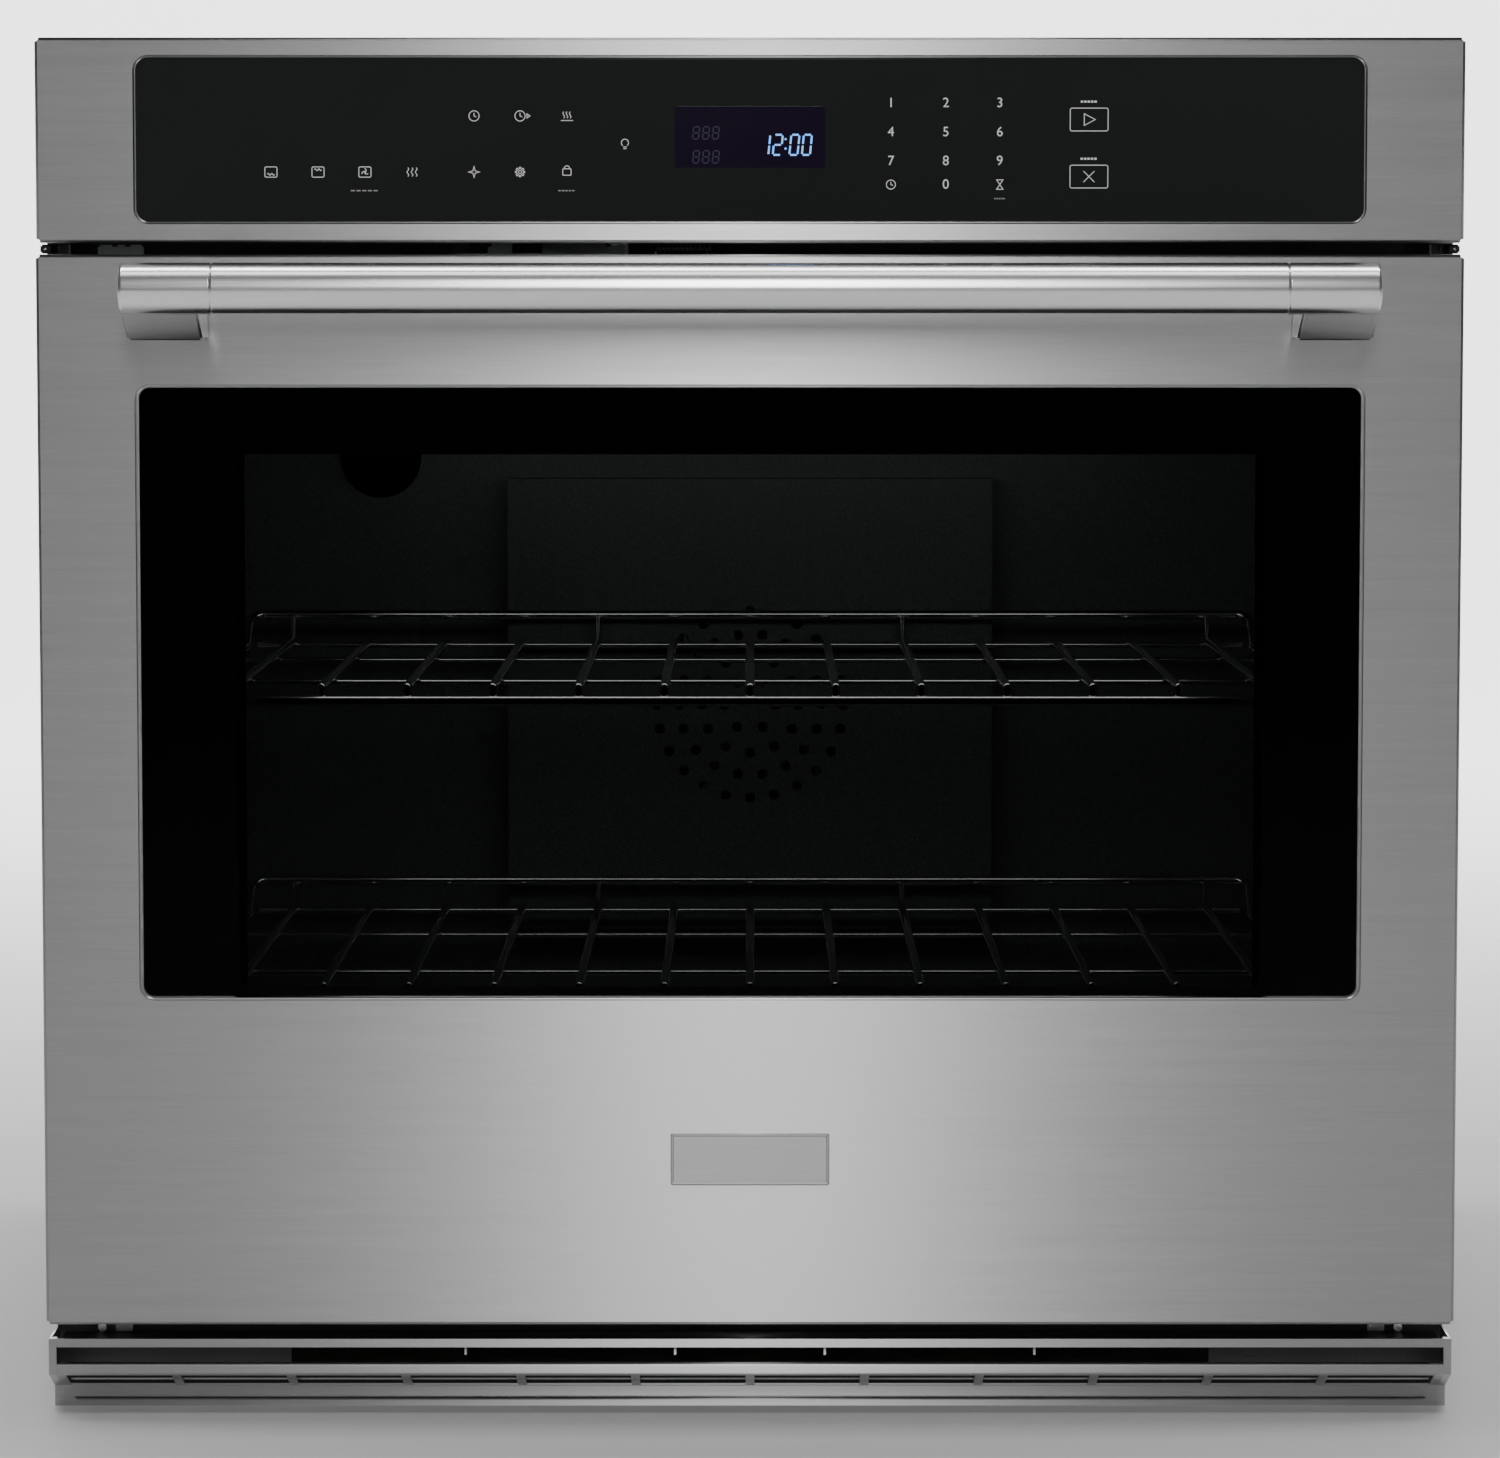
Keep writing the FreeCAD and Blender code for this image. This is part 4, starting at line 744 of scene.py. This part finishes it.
def build_marks():
    """The printed signs, dashes and digits."""
    white = bmesh.new()
    for centre, strokes in ICONS:
        draw(white, centre, strokes)
    grey = bmesh.new()
    for centre, length, width, look in BARS:
        target = white if look == "print_white" else grey
        for index in range(BAR_DASHES):
            start = -length / 2 + length * index / BAR_DASHES
            dash = [(start, 0), (start + length / BAR_DASHES * DASH_SHARE, 0)]
            draw(target, centre, [(dash, False)], width)
    # the printed marks glow through print_white and print_grey: painted light
    add_mesh("panel_symbols", white, LOOKS["print_white"], "chassis")
    add_mesh("panel_small_symbols", grey, LOOKS["print_grey"], "chassis")
    for figure, x, z in DIGITS:
        curve = bpy.data.curves.new("digit", "FONT")
        curve.body = figure
        curve.size = DIGIT_HEIGHT
        curve.extrude = 0.025 * MM
        curve.align_x = "CENTER"
        curve.align_y = "CENTER"
        holder = bpy.data.objects.new("digit_source", curve)
        mesh = bpy.data.meshes.new_from_object(holder)
        bpy.data.objects.remove(holder)
        mesh.transform(Matrix.Translation((x * MM, MARK_Y, z * MM)) @ Matrix.Rotation(math.radians(90), 4, "X"))
        piece = place("panel_digit_" + figure, mesh)
        mesh.materials.clear()
        mesh.materials.append(LOOKS["print_white"])
        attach(piece, "chassis")


def build_display():
    """A dark window with a lit clock and two rows of unlit figures."""
    front = control_low.y
    bm = bmesh.new()
    plate(bm, (-39.6 * MM, 39.6 * MM, 669.4 * MM, 701.8 * MM), 1.0 * MM,
          [(0.05 * MM, front - 0.03 * MM), (0, front - 0.02 * MM), (0, front + 0.1 * MM)])
    add_mesh("display_window", bm, LOOKS["display"], "chassis")
    y = front - 0.09 * MM
    stroke = FIGURE[-1] * MM
    lit = bmesh.new()
    left = 5.4
    for pair in ("12", "00"):
        for figure in pair:
            segment_digit(lit, figure, left, *FIGURE, y)
            left += FIGURE_PITCH
        if pair == "12":
            for level in (679.0, 684.0):
                x = (left + 0.2) * MM
                ribbon(lit, [(x, level * MM), (x, (level + 1.0) * MM)], stroke, False, y)
            left += 2.2
    add_mesh("clock_figures", lit, LOOKS["led_blue"], "chassis")
    faint = bmesh.new()
    for low in (684.6, 672.0):
        for index in range(3):
            segment_digit(faint, "8", -30.4 + 5.2 * index, low, *SMALL_FIGURE, y)
    # the unlit figures glow faintly: painted light
    add_mesh("display_unlit_figures", faint, LOOKS["unlit"], "chassis")


build_marks()
build_display()


# ---------------------------------------------------------------- handle

FOOT_INNER = 286.5 * MM   # a foot's sides, from the middle
FOOT_OUTER = 326.0 * MM
FOOT_REACH = 33.0 * MM    # how far forward the foot's lower edge stands
FOOT_SHOULDER = 30.0 * MM
FOOT_RISE = 7.0 * MM      # above the bar's centre line
FOOT_FRONT_DROP = 11.5 * MM
FOOT_BEVEL = 1.3 * MM
FOOT_LEAN = 1.4 * MM      # outward lean of the foot over its first 16 mm
LEAN_HEIGHT = 16.0 * MM
# below the bar's centre, where the foot's front turns to darker steel as painted shade
FOOT_FACE_DROP = 12.5 * MM
GROOVE = 0.45 * MM        # the fine line between the bar and its ends
GROOVE_EASE = 0.1 * MM
END_ROUND = 2.6 * MM      # length of a cap's rounded end


def build_foot(sign, centre, door_y, foot_low):
    """A block from the bar back to the door, its front face cut back below the bar."""
    foot = bmesh.new()
    front = centre.y - 3.0 * MM
    outline = [(door_y, foot_low), (door_y - FOOT_REACH, foot_low), (front, centre.z - FOOT_FRONT_DROP),
               (front, centre.z), (door_y - FOOT_SHOULDER, centre.z + FOOT_RISE),
               (door_y, centre.z + FOOT_RISE)]
    inner_x, outer_x = sign * FOOT_INNER, sign * FOOT_OUTER
    side_profile(foot, outline, min(inner_x, outer_x), max(inner_x, outer_x))
    bmesh.ops.remove_doubles(foot, verts=foot.verts, dist=1e-7)
    bmesh.ops.bevel(foot, geom=list(foot.edges), offset=FOOT_BEVEL, segments=3, affect="EDGES",
                    clamp_overlap=True)
    for vert in foot.verts:
        vert.co.x += sign * FOOT_LEAN * max(0.0, min(1.0, (vert.co.z - foot_low) / LEAN_HEIGHT))
    block = bpy.data.meshes.new("foot_block")
    foot.to_mesh(block)
    foot.free()
    return block


def build_handle():
    """A round bar between two round-ended caps, each on a foot."""
    low, high, size = face_lengths("handle_bar")
    centre = Vector((0, (low.y + high.y) / 2, (low.z + high.z) / 2))
    radius = size.z / 2
    bracket_low, bracket_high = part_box("handle_brackets")
    half = size.x / 2
    edge = [(0, radius - GROOVE), (GROOVE, radius - GROOVE_EASE), (2 * GROOVE, radius)]
    bm = bmesh.new()
    profile = edge + [(half, radius)] + [(2 * half - along, reach) for along, reach in edge[::-1]]
    turned(bm, centre - Vector((half, 0, 0)), (1, 0, 0), profile, 72)
    piece = add_mesh("handle_tube", bm, LOOKS["stainless_bar"], "door", 40)
    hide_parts("handle_bar")

    caps = bmesh.new()
    length = bracket_high.x - half
    for sign in (-1, 1):
        profile = edge + [(length - END_ROUND, radius)]
        for step in range(1, 8):
            turn = math.radians(90 * step / 7)
            profile.append((length - END_ROUND + 2.0 * MM * math.sin(turn), radius - 1.8 * MM * (1 - math.cos(turn))))
        profile.append((length - 0.25 * MM, radius * 0.5))
        profile.append((length - 0.05 * MM, radius * 0.12))
        turned(caps, centre + Vector((sign * half, 0, 0)), (sign, 0, 0), profile, 72)
        block = build_foot(sign, centre, bracket_high.y, bracket_low.z)
        caps.from_mesh(block)
        bpy.data.meshes.remove(block)
    piece = add_mesh("handle_end_caps", caps, LOOKS["stainless_bar"], "door", 40)
    # the feet's lower front faces, under the bar, take the darker door steel: painted shade
    piece.data.materials.append(LOOKS["stainless"])
    for face in piece.data.polygons:
        if face.center.z < centre.z - FOOT_FACE_DROP and face.center.y > centre.y - 6.0 * MM:
            face.material_index = 1
    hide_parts("handle_brackets")


build_handle()


# ---------------------------------------------------------------- badge, vent and small hardware

def build_badge():
    """A plain plate with a raised rim."""
    low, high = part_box("door_badge")
    bm = bmesh.new()
    rim = 0.5 * MM
    plate(bm, (low.x, high.x, low.z, high.z), 1.2 * MM,
          [(1.6 * MM, low.y + 0.45 * MM), (1.2 * MM, low.y + 0.05 * MM), (rim, low.y), (0.1 * MM, low.y + 0.3 * MM),
           (0, low.y + rim), (0, high.y)])
    piece = add_mesh("badge_plate", bm, LOOKS["badge"], "door")
    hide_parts("door_badge")


def fold(bm, points, x_low, x_high, thickness, radius=1.0 * MM, steps=4):
    """A sheet strip folded along X. Points are the (y, z) corners of its outer line."""
    line = [Vector(points[0])]
    for before, corner, after in zip(points, points[1:], points[2:]):
        corner = Vector(corner)
        come = (Vector(before) - corner).normalized()
        leave = (Vector(after) - corner).normalized()
        for step in range(steps + 1):
            share = step / steps
            start = corner + come * radius
            finish = corner + leave * radius
            line.append(start * (1 - share) ** 2 + corner * 2 * share * (1 - share) + finish * share ** 2)
    line.append(Vector(points[-1]))
    outer, inner = [], []
    for index, here in enumerate(line):
        before = line[max(index - 1, 0)]
        after = line[min(index + 1, len(line) - 1)]
        along = (after - before).normalized()
        normal = Vector((-along.y, along.x))
        outer.append(here)
        inner.append(here + normal * thickness)
    outline = outer + inner[::-1]
    side_profile(bm, [(point.x, point.y) for point in outline], x_low, x_high)


STRIP_GROOVE = (3.2 * MM, 5.5 * MM)     # lower and upper edge, above the strip's foot
STRIP_GROOVE_END = 6.0 * MM             # from the strip's end
STRIP_GROOVE_CORNER = 1.4 * MM
# the groove's walls: how far in from its edge, and how deep, both in millimetres
STRIP_GROOVE_WALL = ((0.15, 0.1), (0.5, 0.45), (0.9, 0.55))
STRIP_GROOVE_SHALLOW = 0.4              # depth of its floor at the top, and how much deeper at the bottom
STRIP_GROOVE_SLOPE = 1.5


def build_strip():
    """The lowest trim strip, with its long round-ended groove."""
    low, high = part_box("vent_lower_strip")
    groove_low, groove_high = (low.z + edge for edge in STRIP_GROOVE)
    groove_end = high.x - STRIP_GROOVE_END
    bm = bmesh.new()
    face = low.y
    outer = [Vector((x, face, z)) for x, z in ((low.x, low.z), (high.x, low.z), (high.x, high.z), (low.x, high.z))]
    rim = rounded_rectangle(-groove_end, groove_end, groove_low, groove_high, STRIP_GROOVE_CORNER, face, 8)
    outer_verts, rim_verts = face_with_hole(bm, outer, rim)
    rows = [rim_verts]
    for inset, depth in STRIP_GROOVE_WALL:
        inset *= MM
        loop = rounded_rectangle(-groove_end + inset, groove_end - inset, groove_low + inset,
                                 groove_high - inset, STRIP_GROOVE_CORNER - inset, face + depth * MM, 8)
        rows.append([bm.verts.new(point) for point in loop])
    for near, far in zip(rows, rows[1:]):
        bridge(bm, near, far)
    # the groove's floor slopes, deepest at the bottom, and takes the dark paint as painted shade in the recess
    for vert in rows[-1]:
        share = (vert.co.z - groove_low) / (groove_high - groove_low)
        vert.co.y = face + (STRIP_GROOVE_SHALLOW + STRIP_GROOVE_SLOPE * (1 - share)) * MM
    bm.faces.new(rows[-1]).material_index = 1
    # the foot of the strip turns back to the frame
    back = [bm.verts.new(Vector((vert.co.x, high.y, vert.co.z))) for vert in outer_verts[:2]]
    bm.faces.new((outer_verts[0], outer_verts[1], back[1], back[0]))
    bmesh.ops.recalc_face_normals(bm, faces=bm.faces)
    fronts = [front for front in bm.faces if abs(front.normal.y) > 0.9]
    if sum(front.normal.y * front.calc_area() for front in fronts) > 0:
        bmesh.ops.reverse_faces(bm, faces=bm.faces)
    # the second look, dark_frame, is the painted shade on the groove's floor
    sheet_piece("lower_strip", bm, "chassis", "vent_lower_strip", ("stainless", "dark_frame"))


LOUVRE_SHEET = 1.0 * MM
LOUVRE_FOLD = 11.1 * MM      # height of the fold above the louvre's foot
LOUVRE_PITCH = 61.9 * MM     # between the bars that part the slots
LOUVRE_BAR = 4.8 * MM


def build_louvre():
    """The bent sheet under the outlet: an upright lip, then a slope of bars with open slots between them."""
    low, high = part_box("vent_louvre")
    fold_z = low.z + LOUVRE_FOLD
    sheet = LOUVRE_SHEET
    bm = bmesh.new()
    fold(bm, [(low.y + 5 * MM, high.z), (low.y, high.z), (low.y, fold_z), (low.y + 2.4 * MM, fold_z - 1.02 * MM)],
         low.x, high.x, sheet)
    side_profile(bm, [(high.y - 1.2 * MM, low.z + 0.5 * MM), (high.y, low.z), (high.y, low.z + sheet),
                      (high.y - 1.2 * MM, low.z + 1.5 * MM)], low.x, high.x)
    top, foot = low.y + 2.2 * MM, high.y - 0.6 * MM
    for index in range(-6, 7):
        x = index * LOUVRE_PITCH
        left, right = max(x - LOUVRE_BAR / 2, low.x), min(x + LOUVRE_BAR / 2, high.x)
        side_profile(bm, [(top, fold_z - 0.9 * MM), (foot, low.z + 0.2 * MM),
                          (foot, low.z + 1.2 * MM), (top, fold_z + 0.1 * MM)], left, right)
    piece = add_mesh("louvre_sheet", bm, LOOKS["stainless"], "chassis")
    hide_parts("vent_louvre")


def add_boxes(name, look, body, boxes, bevel):
    """One piece of several small boxes, each given by its lowest and highest corners."""
    bm = bmesh.new()
    for low, high in boxes:
        soft_box(bm, low, high, bevel)
    add_mesh(name, bm, LOOKS[look], body)


def build_vent_inside():
    """What shows through the slots: the edge of an inner flange, and the sheet that closes the trim below."""
    strip_low, strip_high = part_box("vent_lower_strip")
    frame_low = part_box("front_frame")[0]
    inset = 4 * MM
    add_boxes("vent_inner_flange", "galvanised", "chassis", [
        ((strip_low.x + inset, strip_low.y + 3 * MM, strip_high.z + 1.5 * MM),
         (strip_high.x - inset, strip_low.y + 4 * MM, strip_high.z + 2.4 * MM))], 0.2 * MM)
    add_boxes("vent_deflector", "dark_frame", "chassis", [
        ((strip_low.x, frame_low.y - 1.2 * MM, strip_low.z + 1.1 * MM),
         (strip_high.x, frame_low.y - 0.3 * MM, frame_low.z + 6 * MM))], 0.2 * MM)


# X positions in the gap, in millimetres from the middle
END_BLOCK = (371.6, 377.2)
RIVET_CENTRE = 374.4
# a thin black plate that paints the shade of a recess
GAP_SHADE_PATCH = (352.0, 364.4)
GAP_EDGE = (364.9, 365.7)
BRACKET = (-349.9, -325.2)
BRACKET_TABS = ((-348.6, -342.4), (-339.4, -335.4), (-332.4, -326.4))
STOPS = ((-140.8, -129.0), (-76.6, -65.3))
LEDGE = (-157.5, -76.0)
GUARD = (-65.5, -20.5)


def build_gap_details():
    """Small brackets and stops that show in the gap between fascia and door."""
    door_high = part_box("door_skin")[1]
    fascia_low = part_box("control_fascia")[0]
    frame_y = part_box("front_frame")[0].y
    low, top = door_high.z + 0.5 * MM, fascia_low.z - 0.8 * MM
    ends, shade_patches, lines = [], [], []
    dots = bmesh.new()
    for sign in (-1, 1):
        def span(pair):
            return sorted(sign * end * MM for end in pair)
        left, right = span(END_BLOCK)
        ends.append(((left, frame_y - 36 * MM, low), (right, frame_y - 0.2 * MM, top)))
        turned(dots, (sign * RIVET_CENTRE * MM, frame_y - 36.6 * MM, (low + top) / 2), (0, 1, 0),
               [(0, 0.4 * MM), (0.2 * MM, 0.8 * MM), (0.7 * MM, 0.8 * MM)], 20)
        # thin black plates on the frame's face stand for the dark of a recess: painted shade
        left, right = span(GAP_SHADE_PATCH)
        shade_patches.append(((left, frame_y - 1.2 * MM, low - 2 * MM), (right, frame_y - 0.2 * MM, top + 4 * MM)))
        left, right = span(GAP_EDGE)
        lines.append(((left, frame_y - 5 * MM, low), (right, frame_y - 0.2 * MM, top)))
    add_boxes("gap_end_blocks", "black_plastic", "chassis", ends, 0.8 * MM)
    add_boxes("gap_painted_shade", "black_plastic", "chassis", shade_patches, 0.2 * MM)
    add_boxes("gap_edges", "galvanised", "chassis", lines, 0.15 * MM)
    add_mesh("gap_rivets", dots, LOOKS["fastener"], "chassis")
    bracket = bmesh.new()
    base = top - 1.1 * MM

    def block(pair, near, far, foot, head, bevel):
        soft_box(bracket, (pair[0] * MM, frame_y - near * MM, foot), (pair[1] * MM, frame_y - far * MM, head),
                 bevel * MM)

    block(BRACKET, 6, 4.8, low - 1 * MM, base, 0.2)
    for pair in BRACKET_TABS:
        block(pair, 6, 4.8, base - 0.6 * MM, top, 0.2)
    for pair in STOPS:
        block(pair, 3, 1.8, low - 1 * MM, base, 0.2)
    block(LEDGE, 4, 3.2, low - 1 * MM, low + 0.3 * MM, 0.15)
    add_mesh("gap_brackets", bracket, LOOKS["galvanised"], "chassis")
    add_boxes("latch_guard", "dark_frame", "chassis", [
        ((GUARD[0] * MM, frame_y + 0.1 * MM, 612 * MM), (GUARD[1] * MM, frame_y + 1.0 * MM, 640 * MM))], 0.2 * MM)


build_badge()
build_strip()
build_louvre()
build_vent_inside()
build_gap_details()


# ---------------------------------------------------------------- camera, light and floor

CAMERA_LENS = 134.57       # millimetres on a sensor 36 mm wide
CAMERA_BACK = 2.976        # metres in front of the door's face
CAMERA_DROP = 0.1271       # metres below the top of the oven
CAMERA_TILT = 4.59         # degrees down from level

FLOOR_HALF = 12.0          # the studio floor, in metres; its back wall stands behind every other view's camera
WALL_Y = 7.0
WALL_TOP = 6.0
WALL_BEND = 2.0
BEND_STEPS = 12

# name, place, the point that it faces, size and power in watts
LIGHTS = [
    ("key", (0.0, -3.6, 1.95), (0, 0, 0.4), (0.34, 1.9), 29),
    ("overhead", (0.0, -1.2, 3.1), (0, -0.5, 0.3), (2.8, 0.5), 13),
    ("cavity_glow", (0.0, -0.20, 0.54), (0, 0.1, 0.2), (0.5, 0.1), 0.16),
    ("backdrop", (0.0, 3.0, 3.6), (0, 6.6, 0.8), (8.0, 1.0), 900),
    ("top", (0.0, -0.05, 3.2), (0, -0.30, 0), (3.2, 0.36), 42),
]


def build_camera():
    """The photograph's viewpoint: far back, level with the handle and tilted slightly down."""
    camera = bpy.data.cameras.new("camera")
    camera.lens = CAMERA_LENS
    camera.sensor_width = 36.0
    camera.clip_end = 60.0
    holder = place("camera", camera)
    holder.location = (0.0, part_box("door_skin")[0].y - CAMERA_BACK, cad_box[1][2] - CAMERA_DROP)
    holder.rotation_euler = (math.radians(90 - CAMERA_TILT), 0, 0)
    bpy.context.scene.camera = holder


def area_light(name, spot, aim, size, power):
    """A soft rectangular lamp that the camera doesn't see."""
    light = bpy.data.lights.new(name, "AREA")
    light.shape = "RECTANGLE"
    light.size, light.size_y = size
    light.energy = power
    holder = place(name, light)
    holder.location = spot
    holder.visible_camera = False
    holder.rotation_euler = (Vector(aim) - Vector(spot)).to_track_quat("-Z", "Y").to_euler()


def build_world():
    """A dim, even fill from all round."""
    world = bpy.data.worlds.new("studio")
    bpy.context.scene.world = world
    world.use_nodes = True
    background = world.node_tree.nodes["Background"]
    background.inputs["Color"].default_value = (0.97, 0.98, 1.0, 1)
    background.inputs["Strength"].default_value = 0.10


def build_stage():
    """A pale floor that curves up into a wall far behind the oven."""
    made, nodes, links, shader = material("studio_floor")
    grain = noise(nodes, links, mapped(nodes, links, (1, 1, 1)), 30.0)
    links.new(tint(nodes, links, grain, (0.86, 0.86, 0.86), (0.89, 0.89, 0.89)), shader.inputs["Base Color"])
    shader.inputs["Roughness"].default_value = 0.8
    bm = bmesh.new()
    section = [(-FLOOR_HALF, 0.0), (WALL_Y - WALL_BEND, 0.0)]
    for step in range(1, BEND_STEPS):
        turn = math.radians(90 * step / BEND_STEPS)
        section.append((WALL_Y - WALL_BEND + WALL_BEND * math.sin(turn), WALL_BEND * (1 - math.cos(turn))))
    section.append((WALL_Y, WALL_BEND))
    section.append((WALL_Y, WALL_TOP))
    loft(bm, [[Vector((x, y, z)) for y, z in section] for x in (-FLOOR_HALF, FLOOR_HALF)],
         cap_start=False, cap_end=False, closed=False)
    mesh = bpy.data.meshes.new("studio_floor")
    bm.to_mesh(mesh)
    bm.free()
    floor = place("studio_floor", mesh)
    mesh.materials.append(made)
    for face in mesh.polygons:
        face.use_smooth = True


build_camera()
build_world()
build_stage()
for light_row in LIGHTS:
    area_light(*light_row)
